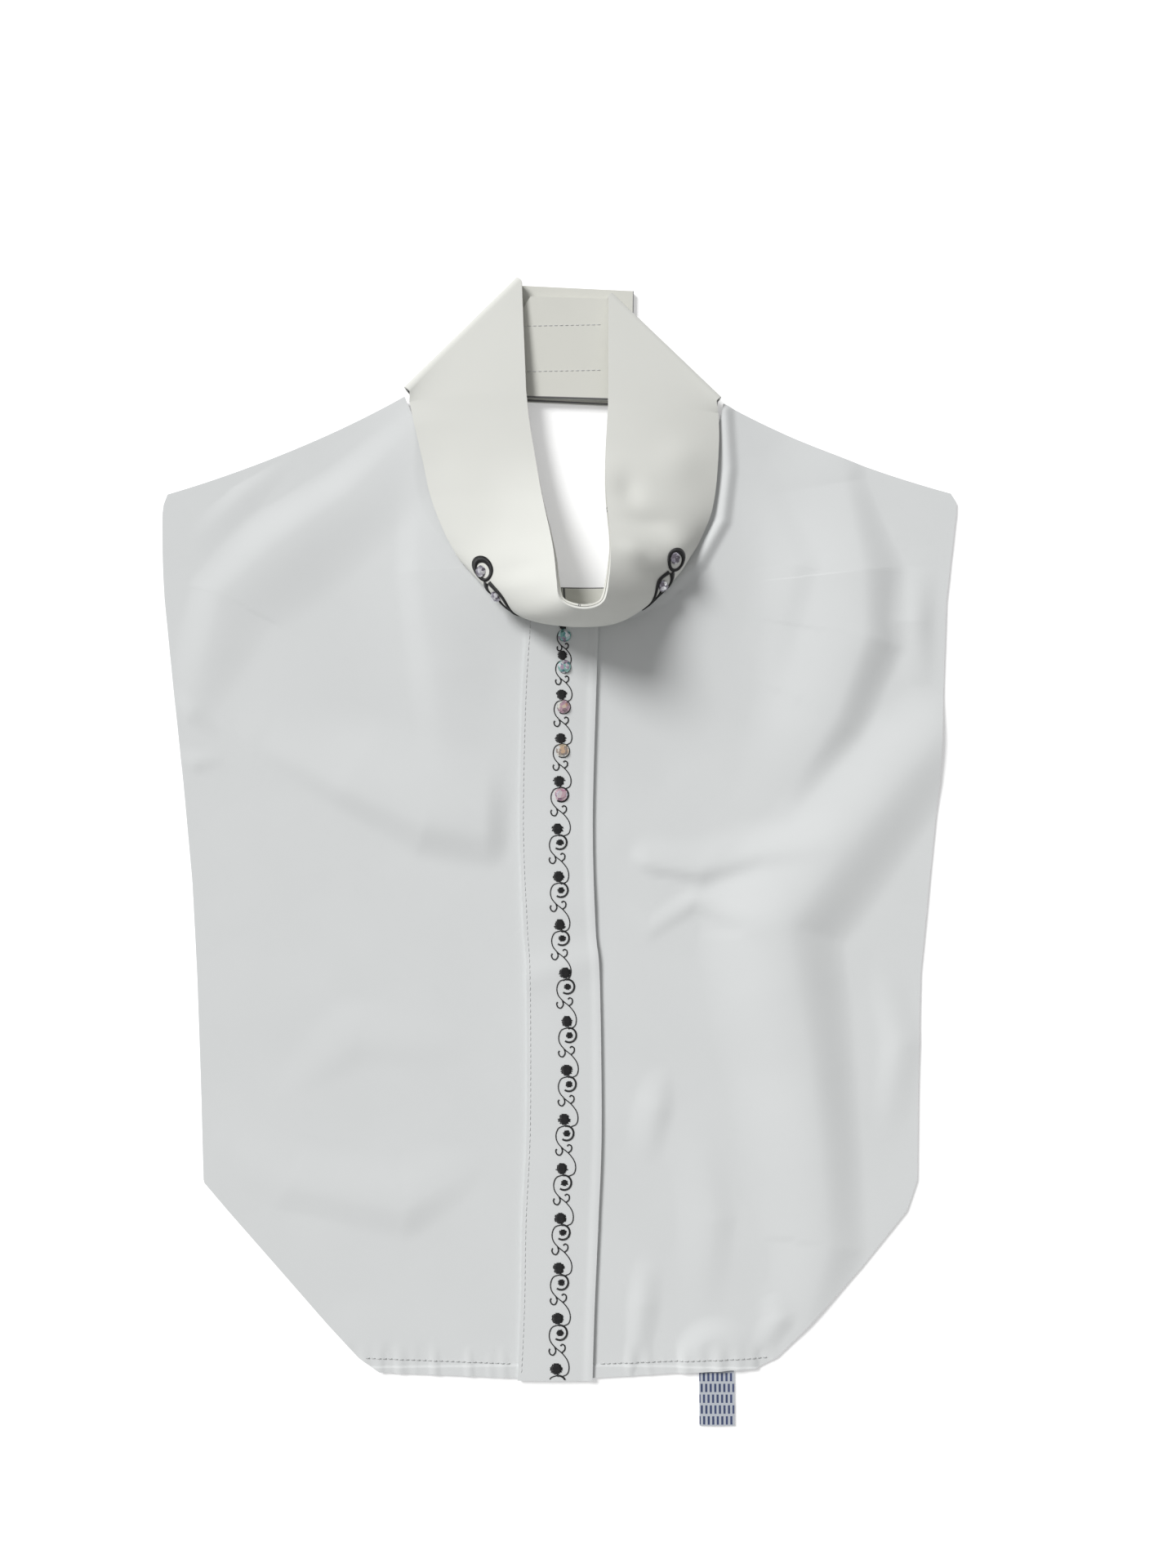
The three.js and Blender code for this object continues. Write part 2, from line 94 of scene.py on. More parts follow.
# ---- the bib's surface ----------------------------------------------------
# Crests along short paths: x, y, height, width to the lit side, width to the
# shaded side. shade_left says whether the shade lies to the left of the path.
FOLDS = [
    {"shade_left": False, "path": [(-66, 180, .5, 26, 12), (-95, 151, 2.2, 30, 17),
        (-127, 128, 2.6, 34, 20), (-149, 107, 2.0, 30, 18), (-160, 62, .5, 14, 14)]},
    {"shade_left": False, "path": [(-61, 150, .2, 24, 12), (-62, 117, 1.4, 30, 12),
        (-54, 72, 1.2, 30, 14), (-49, 34, .2, 20, 14)]},
    {"shade_left": True, "path": [(-20, -1, 2.2, 36, 17), (-58, 6, 3.2, 40, 17),
        (-94, 22, 2.4, 36, 13), (-131, 41, .3, 24, 9)]},
    {"shade_left": True, "path": [(-37, -142, .2, 20, 12), (-66, -160, 1.2, 22, 14),
        (-116, -150, .9, 20, 14), (-140, -134, .1, 16, 12)]},
    {"shade_left": True, "path": [(127, 158, 1.5, 40, 12), (134, 117, 5.4, 46, 21),
        (134, 88, 5.8, 46, 21), (121, 52, 3.8, 40, 17), (99, 16, .4, 26, 9)]},
    {"shade_left": True, "path": [(164, 42, 2.4, 26, 22), (134, 7, 4.4, 34, 26),
        (112, -21, 5.4, 38, 28), (98, -39, 6.2, 40, 28), (102, -66, 5.8, 40, 26),
        (108, -99, 4.6, 38, 22), (112, -140, 3.8, 36, 20), (115, -175, 2.4, 30, 18),
        (106, -207, .6, 20, 12)]},
    {"shade_left": True, "path": [(117, -3, .2, 14, 10), (86, -8, 1.2, 16, 8),
        (62, -16, 1.5, 16, 8), (40, -13, 1.2, 14, 8)]},
]
# Small creases that only the fine cloth shows; negative heights are troughs.
CREASES = [
    {"shade_left": False, "path": [(-168, 62, .1, 5, 5), (-162, 54, .9, 7, 6), (-150, 44, .1, 6, 5)]},
    {"shade_left": False, "path": [(-169, 36, .1, 5, 5), (-160, 32, .8, 8, 6), (-146, 34, .1, 7, 5)]},
    {"shade_left": True, "path": [(-160, 134, .1, 10, 7), (-142, 152, .7, 12, 8), (-124, 166, .1, 8, 6)]},
    {"shade_left": False, "path": [(-118, -112, .1, 12, 12), (-88, -88, .7, 20, 14), (-50, -92, .1, 12, 10)]},
    {"shade_left": True, "path": [(19, -9, .1, 6, 4), (41, -19, -.9, 9, 5), (60, -21, -.5, 8, 5),
        (86, -13, -.1, 7, 5)]},
    {"shade_left": False, "path": [(30, -30, .1, 6, 5), (40, -41, .5, 8, 6), (59, -29, 1.0, 9, 6),
        (86, -39, .1, 8, 6)]},
    {"shade_left": True, "path": [(45, -100, .1, 10, 8), (42, -118, 1.2, 12, 9), (37, -140, .1, 10, 8)]},
    {"shade_left": False, "path": [(38, -182, .1, 8, 7), (36, -200, 1.1, 9, 8), (33, -224, .6, 8, 7)]},
    {"shade_left": True, "path": [(60, -130, .1, 16, 12), (66, -165, 1.0, 18, 12), (62, -200, .1, 12, 10)]},
    {"shade_left": True, "path": [(90, -196, .1, 8, 7), (94, -206, 1.1, 9, 8), (88, -216, .3, 7, 6)]},
    {"shade_left": False, "path": [(140, -60, .1, 10, 8), (148, -90, 1.1, 12, 10), (142, -125, .1, 10, 8)]},
    {"shade_left": True, "path": [(160, 120, .1, 12, 10), (158, 95, 1.6, 14, 10), (160, 66, .1, 10, 8)]},
    {"shade_left": True, "path": [(88, 160, .1, 14, 10), (104, 120, 1.0, 20, 12), (92, 70, .1, 16, 10)]},
]
# The roll of cloth just outside the right-hand neck seam.
NECK_ROLL = [(74, 190), (75.5, 164), (72.5, 140), (62, 121), (46, 107), (31, 100)]
NECK = {"x": 1.5, "y": 165.0, "half": 66.0, "drop": 57.5}
RISE = {"front": 8.0, "side": 3.0, "front_reach": 105.0, "side_reach": 45.0}


def crest_height(crest, x, y):
    """Height of one crest: its own height falls by a smooth step over the width
    of the side that the point lies on, at the nearest place of the path. Round
    an end of the path the width goes evenly from one side's to the other's."""
    best = np.full(x.shape, 1e9)
    out = np.zeros(x.shape)
    path = crest["path"]
    for a, b in zip(path, path[1:]):
        dx, dy = b[0] - a[0], b[1] - a[1]
        t = np.clip(((x - a[0]) * dx + (y - a[1]) * dy) / (dx * dx + dy * dy), 0, 1)
        away = np.hypot(x - a[0] - dx * t, y - a[1] - dy * t)
        side = (dx * (y - a[1]) - dy * (x - a[0])) / math.hypot(dx, dy) / np.maximum(away, 1e-3)
        shaded = 0.5 + 0.5 * np.clip(side if crest["shade_left"] else -side, -1, 1)
        width = mix(mix(a[3], b[3], t), mix(a[4], b[4], t), shaded)
        high = mix(a[2], b[2], t) * (1 - ease(away / width))
        out = np.where(away < best, high, out)
        best = np.minimum(best, away)
    return out


def neck_height(x, y):
    """The cloth climbs towards the neck seam, by a square law over its reach."""
    dx = (x - NECK["x"]) / NECK["half"]
    below = np.maximum(NECK["y"] - y, 0) / NECK["drop"]
    q = np.hypot(dx, below)
    front = (below / np.maximum(q, 1e-6)) ** 2
    away = np.maximum(q - 1, 0) * mix(NECK["half"], NECK["drop"], front)
    reach = mix(RISE["side_reach"], RISE["front_reach"], front)
    high = mix(RISE["side"], RISE["front"], front)
    return high * (1 - np.clip(away / reach, 0, 1)) ** 2


def bib_height(x, y):
    """Height of the bib's underside: neck climb, folds that die out at the
    placket, and the lift over the label."""
    calm = span(*PLACKET_CALM, np.abs(x - CENTRE_X))
    folds = sum(crest_height(f, x, y) for f in FOLDS)
    away = np.hypot(x - LABEL_LIFT["x"], y - LABEL_LIFT["y"])
    lift = LABEL_LIFT["high"] * (1 - span(LABEL_LIFT["flat"], LABEL_LIFT["reach"], away))
    return neck_height(x, y) + calm * folds + lift


def fine_height(x, y):
    """The bib's height with its small creases, the roll beside the collar, slow
    sine swells all over and, along the stitched hem, gathers that are the sum
    of two sines. It never goes below the surface that the bib lies on."""
    calm = span(*CREASE_CALM, np.abs(x - CENTRE_X))
    small = sum(crest_height(c, x, y) for c in CREASES)
    roll = crest_height({"shade_left": False, "path": [(*p, 1.8, 5, 4.5) for p in NECK_ROLL]}, x, y)
    hem = (1 - span(-226, -214, y)) * 0.22 * (np.sin(x * 0.47 + 1) + np.sin(x * 0.83 + y * .05))
    soft = 0.16 * np.sin(x * .061 + y * .043) * np.sin(y * .052 - x * .03 + 1.3)
    return np.maximum(bib_height(x, y) + calm * (small + soft) + roll + hem * calm, 0)


# ---- meshes ---------------------------------------------------------------
def make_object(name, verts, faces, uv=None, smooth=True):
    """A mesh object from arrays in sketch millimetres, put in the frame."""
    mesh = bpy.data.meshes.new(name)
    faces = np.asarray(faces, np.int32)
    count, corners = faces.shape
    mesh.vertices.add(len(verts))
    mesh.vertices.foreach_set("co", ((np.asarray(verts) + SHIFT) * MM).astype(np.float32).ravel())
    mesh.loops.add(count * corners)
    mesh.loops.foreach_set("vertex_index", faces.ravel())
    mesh.polygons.add(count)
    mesh.polygons.foreach_set("loop_start", np.arange(0, count * corners, corners, dtype=np.int32))
    mesh.polygons.foreach_set("use_smooth", np.full(count, smooth))
    if uv is not None:
        layer = mesh.uv_layers.new(name="UVMap")
        layer.data.foreach_set("uv", np.asarray(uv, np.float32)[faces.ravel()].ravel())
    mesh.update(calc_edges=True)
    mesh.validate()
    obj = bpy.data.objects.new(name, mesh)
    bpy.context.scene.collection.objects.link(obj)
    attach(obj, "root")
    return obj


def wall_faces(rows, columns):
    """Quads of a closed wall between two grids, faces outwards; the upper grid
    follows the lower one in the list of points."""
    index = np.arange(rows * columns).reshape(rows, columns)
    low, high = index, index + rows * columns

    def quads(a, b, c, d):
        """One quad for each place of four grids of point numbers."""
        return np.stack([a.ravel(), b.ravel(), c.ravel(), d.ravel()], axis=1)

    top = quads(high[:-1, :-1], high[:-1, 1:], high[1:, 1:], high[1:, :-1])
    base = quads(low[:-1, :-1], low[1:, :-1], low[1:, 1:], low[:-1, 1:])
    left = quads(low[:-1, 0], high[:-1, 0], high[1:, 0], low[1:, 0])
    right = quads(low[1:, -1], high[1:, -1], high[:-1, -1], low[:-1, -1])
    near = quads(low[0, 1:], high[0, 1:], high[0, :-1], low[0, :-1])
    far = quads(low[-1, :-1], high[-1, :-1], high[-1, 1:], low[-1, 1:])
    return np.concatenate([top, base, left, right, near, far])


def wall_object(name, lower, upper, uv, material):
    """A closed wall between two grids of points, one material on it, with its
    rim kept sharp."""
    rows, columns = lower.shape[:2]
    verts = np.concatenate([lower.reshape(-1, 3), upper.reshape(-1, 3)])
    uvs = np.concatenate([uv.reshape(-1, 2)] * 2)
    obj = make_object(name, verts, wall_faces(rows, columns), uvs)
    obj.data.materials.append(material)
    obj.data.set_sharp_from_angle(angle=math.radians(50))
    return obj


def tube_mesh(paths, radii, sides=6):
    """Tubes carried along paths: a ring of points round each point of a path,
    closed by a cap point at each end. Returns points and triangles."""
    verts, faces, start = [], [], 0
    for path, radius in zip(paths, radii):
        path = np.asarray(path, float)
        n = len(path)
        tangent = unit(np.gradient(path, axis=0))
        side = unit(np.cross(tangent, np.array([0.0, 0.0, 1.0]) + tangent * 0.01))
        up = np.cross(side, tangent)
        angle = np.linspace(0, 2 * np.pi, sides, endpoint=False)
        r = np.broadcast_to(np.asarray(radius, float), (n,))[:, None, None]
        ring = side[:, None] * np.cos(angle)[None, :, None] + up[:, None] * np.sin(angle)[None, :, None]
        points = (path[:, None] + ring * r).reshape(-1, 3)
        verts.append(np.concatenate([points, path[:1], path[-1:]]))
        i = np.arange(n * sides).reshape(n, sides)
        j = np.roll(i, -1, axis=1)
        a, b, c, d = i[:-1].ravel(), j[:-1].ravel(), j[1:].ravel(), i[1:].ravel()
        first = np.full(sides, n * sides)
        tris = np.concatenate([np.stack([a, d, c], 1), np.stack([a, c, b], 1),
                               np.stack([first, i[0], j[0]], 1),
                               np.stack([first + 1, j[-1], i[-1]], 1)])
        faces.append(tris + start)
        start += len(verts[-1])
    return np.concatenate(verts), np.concatenate(faces)


def smooth_path(points, steps):
    """Catmull-Rom curve through points, any number of dimensions."""
    p = np.asarray(points, float)
    p = np.concatenate([2 * p[:1] - p[1:2], p, 2 * p[-1:] - p[-2:-1]])
    s = np.linspace(0, len(p) - 3 - 1e-9, steps)
    i = s.astype(int)
    t = (s - i).reshape((-1,) + (1,) * (p.ndim - 1))
    a, b, c, d = p[i], p[i + 1], p[i + 2], p[i + 3]
    return 0.5 * (2 * b + (c - a) * t + (2 * a - 5 * b + 4 * c - d) * t ** 2
                  + (3 * b - a - 3 * c + d) * t ** 3)


# ---- materials ------------------------------------------------------------
def node(tree, kind, **values):
    """A new node with some of its own settings."""
    made = tree.nodes.new(kind)
    for key, value in values.items():
        setattr(made, key, value)
    return made


def group_sockets(group, inputs, outputs):
    """Named sockets of a node group, and the two nodes that hold them."""
    for name, kind, default in inputs:
        socket = group.interface.new_socket(name, in_out="INPUT", socket_type=kind)
        if default is not None:
            socket.default_value = default
    for name, kind in outputs:
        group.interface.new_socket(name, in_out="OUTPUT", socket_type=kind)
    return group.nodes.new("NodeGroupInput"), group.nodes.new("NodeGroupOutput")


def weave_group():
    """Plain weave: two crossed waves give a height, and slow noise a tint."""
    group = bpy.data.node_groups.get("weave")
    if group:
        return group
    group = bpy.data.node_groups.new("weave", "ShaderNodeTree")
    gin, gout = group_sockets(group, [
        ("Vector", "NodeSocketVector", None), ("Threads per metre", "NodeSocketFloat", 2400.0),
        ("Colour", "NodeSocketColor", (0.72, 0.73, 0.73, 1)),
        ("Shade", "NodeSocketColor", (0.68, 0.69, 0.69, 1))],
        [("Height", "NodeSocketFloat"), ("Colour", "NodeSocketColor")])
    link = group.links.new
    waves = []
    for direction in ("X", "Y"):
        wave = node(group, "ShaderNodeTexWave", bands_direction=direction)
        wave.inputs["Distortion"].default_value = 0.4
        wave.inputs["Detail"].default_value = 1.0
        link(gin.outputs["Vector"], wave.inputs["Vector"])
        link(gin.outputs["Threads per metre"], wave.inputs["Scale"])
        waves.append(wave)
    cross = node(group, "ShaderNodeMath", operation="MULTIPLY")
    link(waves[0].outputs["Fac"], cross.inputs[0])
    link(waves[1].outputs["Fac"], cross.inputs[1])
    noise = node(group, "ShaderNodeTexNoise")
    noise.inputs["Scale"].default_value = 28.0
    noise.inputs["Detail"].default_value = 4.0
    link(gin.outputs["Vector"], noise.inputs["Vector"])
    blend = node(group, "ShaderNodeMix", data_type="RGBA")
    link(noise.outputs["Fac"], blend.inputs["Factor"])
    link(gin.outputs["Colour"], blend.inputs["A"])
    link(gin.outputs["Shade"], blend.inputs["B"])
    link(cross.outputs[0], gout.inputs["Height"])
    link(blend.outputs["Result"], gout.inputs["Colour"])
    return group


def lines_group():
    """Windowpane: 1 near the lines of a grid of the given spacing, doubled by
    a second, offset line; 0 elsewhere. The two directions are joined."""
    group = bpy.data.node_groups.get("windowpane")
    if group:
        return group
    group = bpy.data.node_groups.new("windowpane", "ShaderNodeTree")
    gin, gout = group_sockets(group, [
        ("Vector", "NodeSocketVector", None), ("Spacing", "NodeSocketFloat", 0.04),
        ("Line", "NodeSocketFloat", 0.0005), ("Twin offset", "NodeSocketFloat", 0.0016)],
        [("Mask", "NodeSocketFloat")])
    link = group.links.new
    split = node(group, "ShaderNodeSeparateXYZ")
    link(gin.outputs["Vector"], split.inputs[0])
    masks = []
    for axis in ("X", "Y"):
        for twin in (False, True):
            value = split.outputs[axis]
            if twin:
                move = node(group, "ShaderNodeMath", operation="ADD")
                link(value, move.inputs[0])
                link(gin.outputs["Twin offset"], move.inputs[1])
                value = move.outputs[0]
            wrap = node(group, "ShaderNodeMath", operation="PINGPONG")
            link(value, wrap.inputs[0])
            link(gin.outputs["Spacing"], wrap.inputs[1])
            near = node(group, "ShaderNodeMath", operation="LESS_THAN")
            link(wrap.outputs[0], near.inputs[0])
            link(gin.outputs["Line"], near.inputs[1])
            masks.append(near.outputs[0])
    total = masks[0]
    for mask in masks[1:]:
        high = node(group, "ShaderNodeMath", operation="MAXIMUM")
        link(total, high.inputs[0])
        link(mask, high.inputs[1])
        total = high.outputs[0]
    link(total, gout.inputs["Mask"])
    return group


def cloth_material(name, colour, shade, threads=2400.0, bump=0.12, check=0.0, ink=(0.09, 0.09, 0.10, 1)):
    """Cotton on the piece's own UV map in metres: weave bump, uneven tone and,
    where check is over 0, windowpane lines of that strength."""
    material = bpy.data.materials.get(name)
    if material:
        return material
    material = bpy.data.materials.new(name)
    material.use_nodes = True
    tree = material.node_tree
    link = tree.links.new
    shader = tree.nodes["Principled BSDF"]
    shader.inputs["Roughness"].default_value = 0.88
    shader.inputs["Sheen Weight"].default_value = 0.12
    shader.inputs["Specular IOR Level"].default_value = 0.25
    place = node(tree, "ShaderNodeTexCoord")
    weave = node(tree, "ShaderNodeGroup", node_tree=weave_group())
    weave.inputs["Threads per metre"].default_value = threads
    weave.inputs["Colour"].default_value = colour
    weave.inputs["Shade"].default_value = shade
    link(place.outputs["UV"], weave.inputs["Vector"])
    out = weave.outputs["Colour"]
    if check:
        lines = node(tree, "ShaderNodeGroup", node_tree=lines_group())
        link(place.outputs["UV"], lines.inputs["Vector"])
        strength = node(tree, "ShaderNodeMath", operation="MULTIPLY")
        link(lines.outputs["Mask"], strength.inputs[0])
        strength.inputs[1].default_value = check
        blend = node(tree, "ShaderNodeMix", data_type="RGBA")
        link(strength.outputs[0], blend.inputs["Factor"])
        link(out, blend.inputs["A"])
        blend.inputs["B"].default_value = ink
        out = blend.outputs["Result"]
    link(out, shader.inputs["Base Color"])
    relief = node(tree, "ShaderNodeBump")
    relief.inputs["Strength"].default_value = bump
    relief.inputs["Distance"].default_value = 0.0002
    link(weave.outputs["Height"], relief.inputs["Height"])
    link(relief.outputs["Normal"], shader.inputs["Normal"])
    return material


def pattern_group(name, kind, scale, output, socket):
    """A group round one texture: named input Vector, one named output."""
    group = bpy.data.node_groups.get(name)
    if group:
        return group
    group = bpy.data.node_groups.new(name, "ShaderNodeTree")
    gin, gout = group_sockets(group, [("Vector", "NodeSocketVector", None)], [(output, socket)])
    texture = node(group, kind)
    texture.inputs["Scale"].default_value = scale
    group.links.new(gin.outputs["Vector"], texture.inputs["Vector"])
    group.links.new(texture.outputs[output], gout.inputs[output])
    return group


def thread_material(name, colour, roughness=0.45):
    """Twisted thread: its colour from darker to lighter by fine noise."""
    material = bpy.data.materials.get(name)
    if material:
        return material
    material = bpy.data.materials.new(name)
    material.use_nodes = True
    tree = material.node_tree
    shader = tree.nodes["Principled BSDF"]
    shader.inputs["Roughness"].default_value = roughness
    shader.inputs["Sheen Weight"].default_value = 0.1
    place = node(tree, "ShaderNodeTexCoord")
    noise = node(tree, "ShaderNodeGroup", node_tree=pattern_group(
        "thread twist", "ShaderNodeTexNoise", 2600.0, "Fac", "NodeSocketFloat"))
    ramp = node(tree, "ShaderNodeValToRGB")
    ramp.color_ramp.elements[0].color = [c * 0.6 for c in colour[:3]] + [1]
    ramp.color_ramp.elements[1].color = [min(c * 1.5, 1) for c in colour[:3]] + [1]
    tree.links.new(place.outputs["Object"], noise.inputs["Vector"])
    tree.links.new(noise.outputs["Fac"], ramp.inputs["Fac"])
    tree.links.new(ramp.outputs["Color"], shader.inputs["Base Color"])
    return material


def stone_material(name, facet_reflection_tints):
    """A cut stone: painted facet reflections, light and dark cells through a stepped
    ramp of tints; on the coated stones the tints also carry the coating's colours.
    """
    material = bpy.data.materials.new(name)
    material.use_nodes = True
    tree = material.node_tree
    shader = tree.nodes["Principled BSDF"]
    shader.inputs["Metallic"].default_value = 0.55
    shader.inputs["Roughness"].default_value = 0.08
    shader.inputs["Coat Weight"].default_value = 1.0
    place = node(tree, "ShaderNodeTexCoord")
    # the cells' light and dark tints are painted reflections, not the stone's own colour under any lamp
    cells = node(tree, "ShaderNodeGroup", node_tree=pattern_group(
        "painted reflection cells", "ShaderNodeTexVoronoi", 620.0, "Color", "NodeSocketColor"))
    ramp = node(tree, "ShaderNodeValToRGB")
    ramp.color_ramp.interpolation = "CONSTANT"
    elements = ramp.color_ramp.elements
    while len(elements) < len(facet_reflection_tints):
        elements.new(0.5)
    for i, tint in enumerate(facet_reflection_tints):
        elements[i].position = i / len(facet_reflection_tints)
        elements[i].color = (*tint, 1)
    tree.links.new(place.outputs["Object"], cells.inputs["Vector"])
    tree.links.new(cells.outputs["Color"], ramp.inputs["Fac"])
    tree.links.new(ramp.outputs["Color"], shader.inputs["Base Color"])
    return material


def settings():
    """The sizes and colours that a user can change."""
    return bpy.context.scene.dickey_settings


def bib_cotton():
    """The cotton of the two fronts and the placket."""
    return cloth_material("bib cotton", (*settings().bib_colour, 1), (0.685, 0.70, 0.70, 1))


def black_thread():
    """The thread of all the embroidery."""
    return thread_material("black thread", (*settings().thread_colour, 1))


# ---- the fronts -----------------------------------------------------------
# Rungs from the inner edge to the outer edge (x, y of each), from hem to shoulder.
FRONT_GRID = (330, 120)
SHOULDER_SAG = 3  # the shoulder line's dip below a straight line
UNDER_COLLAR = 1.2  # the neck edge reaches this far under the collar
HEM_FOLD = {"y": (-225.6, -224.8), "thick": 0.35}  # the hem's turned layer, below the stitches
LEFT_RUNGS = [
    (1, -231.4, -76, -228.3), (1, -223, -84.8, -222.6), (1, -209, -98.5, -208.5),
    (1, -185, -119.5, -185.5), (1, -160, -141.5, -161.5), (1, -146, -152.6, -149),
    (1, -105, -154.8, -105), (1, -63, -157.4, -60), (1, -25, -160.4, -20),
    (1, 15, -165.3, 23), (1, 60, -170.8, 66), (1, 90, -174, 92), (1, 106.6, -175.6, 105),
    (-16, 108, -176.5, 116), (-30, 112, -177, 126), (-41, 118.6, -177.2, 133),
    (-52.8, 139.2, -177.4, 139), (-60, 164, -177.4, 144), (-64, 181, -177, 148),
    (-70.6, 196.8, -175.4, 152.6)]
RIGHT_RUNGS = [
    (1, -231.4, 84, -226.6), (1, -223, 93.5, -222), (1, -209, 107.5, -208.5),
    (1, -185, 129.5, -185), (1, -160, 149.5, -161), (1, -146, 154.3, -148),
    (1, -105, 155.6, -105), (1, -63, 157.4, -60), (1, -25, 162, -20),
    (1, 15, 167.2, 23), (1, 60, 170, 66), (1, 90, 171.3, 92), (1, 106.6, 172, 105),
    (27, 107.4, 173.3, 114), (41.5, 110.6, 174.4, 123), (52, 116.6, 175.4, 130),
    (62.8, 133.2, 176.4, 138), (69, 153, 177.2, 144), (70.8, 178, 177.4, 149),
    (74.4, 193.4, 175, 153)]


def front_plan(rungs, side, rows, columns):
    """Points in plan: along each rung from its inner to its outer end, with
    the shoulder line dipped as a parabola."""
    rungs = np.array(rungs, float)
    r = np.linspace(0, len(rungs) - 1, rows)
    ends = np.stack([np.interp(r, np.arange(len(rungs)), rungs[:, k]) for k in range(4)], 1)
    ends[:, 0] += side * (GAP / 2 - UNDER_COLLAR * span(len(rungs) - 8, len(rungs) - 7, r))
    t = np.linspace(0, 1, columns)[None, :]
    sag = SHOULDER_SAG * span(len(rungs) - 4, len(rungs) - 1, r)[:, None]
    x = mix(ends[:, 0:1], ends[:, 2:3], t)
    y = mix(ends[:, 1:2], ends[:, 3:4], t) - sag * 4 * t * (1 - t)
    return x, y


def make_front(name, rungs, side):
    """One front: a wall on the bib's fine height, thicker at the turned hem."""
    x, y = front_plan(rungs, side, *FRONT_GRID)
    if side < 0:
        x, y = x[:, ::-1], y[:, ::-1]
    z = fine_height(x, y)
    hem = HEM_FOLD["thick"] * (1 - span(*HEM_FOLD["y"], y + 0.012 * np.abs(x)))
    lower, upper = np.stack([x, y, z], -1), np.stack([x, y, z + BIB_WALL + hem], -1)
    obj = wall_object(name, lower, upper, np.stack([x, y], -1) * MM, bib_cotton())
    node_name = name.replace("cloth_", "")
    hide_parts(node_name)
    return obj


# ---- the placket ----------------------------------------------------------
PLACKET_GRID = (460, 40)
# y, left edge, right edge
PLACKET = [(-231.4, -17.2, 14.6), (-200, -15.9, 15.6), (-165, -15.4, 17.2), (-125, -13.7, 18.6),
           (-62, -14, 17.8), (-40, -15.3, 16), (5, -17.2, 14.8), (60, -16.2, 16.2),
           (92, -14.2, 17.4), (105.5, -13.8, 17.6)]
# y, x of the middle of the stitched border
BORDER = [(-231.5, 0.2), (-190, 1.2), (-147, 2.5), (-103, 4.6), (-82, 4.5), (-62, 3.5), (-44, 1.3),
          (-3, 0.3), (38, 1.6), (75, 2.3), (104, 2.6)]


def placket_edges(y):
    """x of the placket's two edges at y, from a smooth curve through its rows."""
    rows = np.array(smooth_path(PLACKET, 200))
    return np.interp(y, rows[:, 0], rows[:, 1]), np.interp(y, rows[:, 0], rows[:, 2])


def placket_top(x, y):
    """Height of the placket's face: the bib's height and the layers on it, a
    soft crown, and a low ripple where the cross creases meet it."""
    left, right = placket_edges(y)
    t = np.clip((x - left) / (right - left), 0, 1)
    ripple = 0.5 * np.exp(-((y + 58 - 0.3 * x) / 7) ** 2) + 0.3 * np.exp(-((y + 30) / 9) ** 2)
    edge = 0.5 * span(0.86, 0.97, t)
    return bib_height(x, y) + PLACKET_TOP + 0.25 * np.sin(np.pi * t) + ripple + edge


class DICKEY_OT_bib(bpy.types.Operator):
    """Make the two fronts and the placket that lies on them"""
    bl_idname = "dickey.bib"
    bl_label = "Bib"

    def execute(self, context):
        make_front("cloth_front_left", LEFT_RUNGS, -1)
        make_front("cloth_front_right", RIGHT_RUNGS, 1)
        rows, columns = PLACKET_GRID
        y = np.linspace(PLACKET[0][0], PLACKET[-1][0], rows)[:, None] + np.zeros((1, columns))
        left, right = placket_edges(y)
        t = np.linspace(0, 1, columns)[None, :]
        x = mix(left, right, t)
        top = placket_top(x, y)
        base = np.maximum(bib_height(x, y) + BIB_WALL + GAP * 0.5, top - PLACKET_WALL - 0.6)
        obj = wall_object("cloth_placket", np.stack([x, y, base], -1), np.stack([x, y, top], -1),
                          np.stack([x, y], -1) * MM, bib_cotton())
        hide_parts("placket")
        return {"FINISHED"}


# ---- the collar -----------------------------------------------------------
# seam x, y; bend x, y, z; top x, y, z
STATIONS = np.array([
    (-66.8, 193.5, -41, 195, 9.5, -14.7, 197, 10), (-64, 181, -39, 182, 10, -13.2, 183, 11),
    (-60, 164.5, -36, 165, 11.5, -10.3, 165, 13), (-57.2, 152, -34, 151.5, 13, -8, 151.5, 17),
    (-53, 140, -33, 138.5, 15, -5.5, 139, 22.5), (-48, 129.5, -34, 126, 16, -3, 127.5, 28),
    (-41, 119.5, -37, 112.5, 16, -1, 116, 35), (-30, 112.8, -36.5, 101, 13.5, .3, 104.5, 41),
    (-16, 109, -22.5, 86.5, 12, 2.2, 96, 43.5), (5, 107.6, 7, 80, 16, 10.5, 92.5, 45.5),
    (27, 108.3, 34, 84, 12.5, 18.4, 95.5, 43.5), (41.5, 111.5, 51, 99, 12, 20.8, 106, 39.5),
    (52, 117.5, 56, 111, 18, 21.8, 116.5, 35), (58, 125, 54, 121, 22, 22, 125, 31),
    (63, 134, 50, 132, 20, 21.4, 134, 26.5), (66.8, 143, 47, 142, 17.5, 20.7, 143, 22.5),
    (69, 154, 45, 154, 15, 20.3, 154, 18.5), (70.2, 167, 45.5, 167, 13, 20.4, 167, 14.5),
    (70.8, 178, 46, 178.5, 11.5, 21, 179, 12.5), (70.6, 188.5, 46, 189.5, 10.5, 21.6, 190.5, 11)])
LEFT_FOLD = {"low": (-66.9, 198), "high": (-17, 248.6), "mid": 6.6, "under": 1.15,
             "run": (0.997, -0.05), "ends": (100, 50.5)}
RIGHT_FOLD = {"low": (70.2, 193.6), "high": (21.8, 241.4), "mid": 7.2, "under": 3.75,
              "run": (-0.9995, 0.03), "ends": (112, 35)}
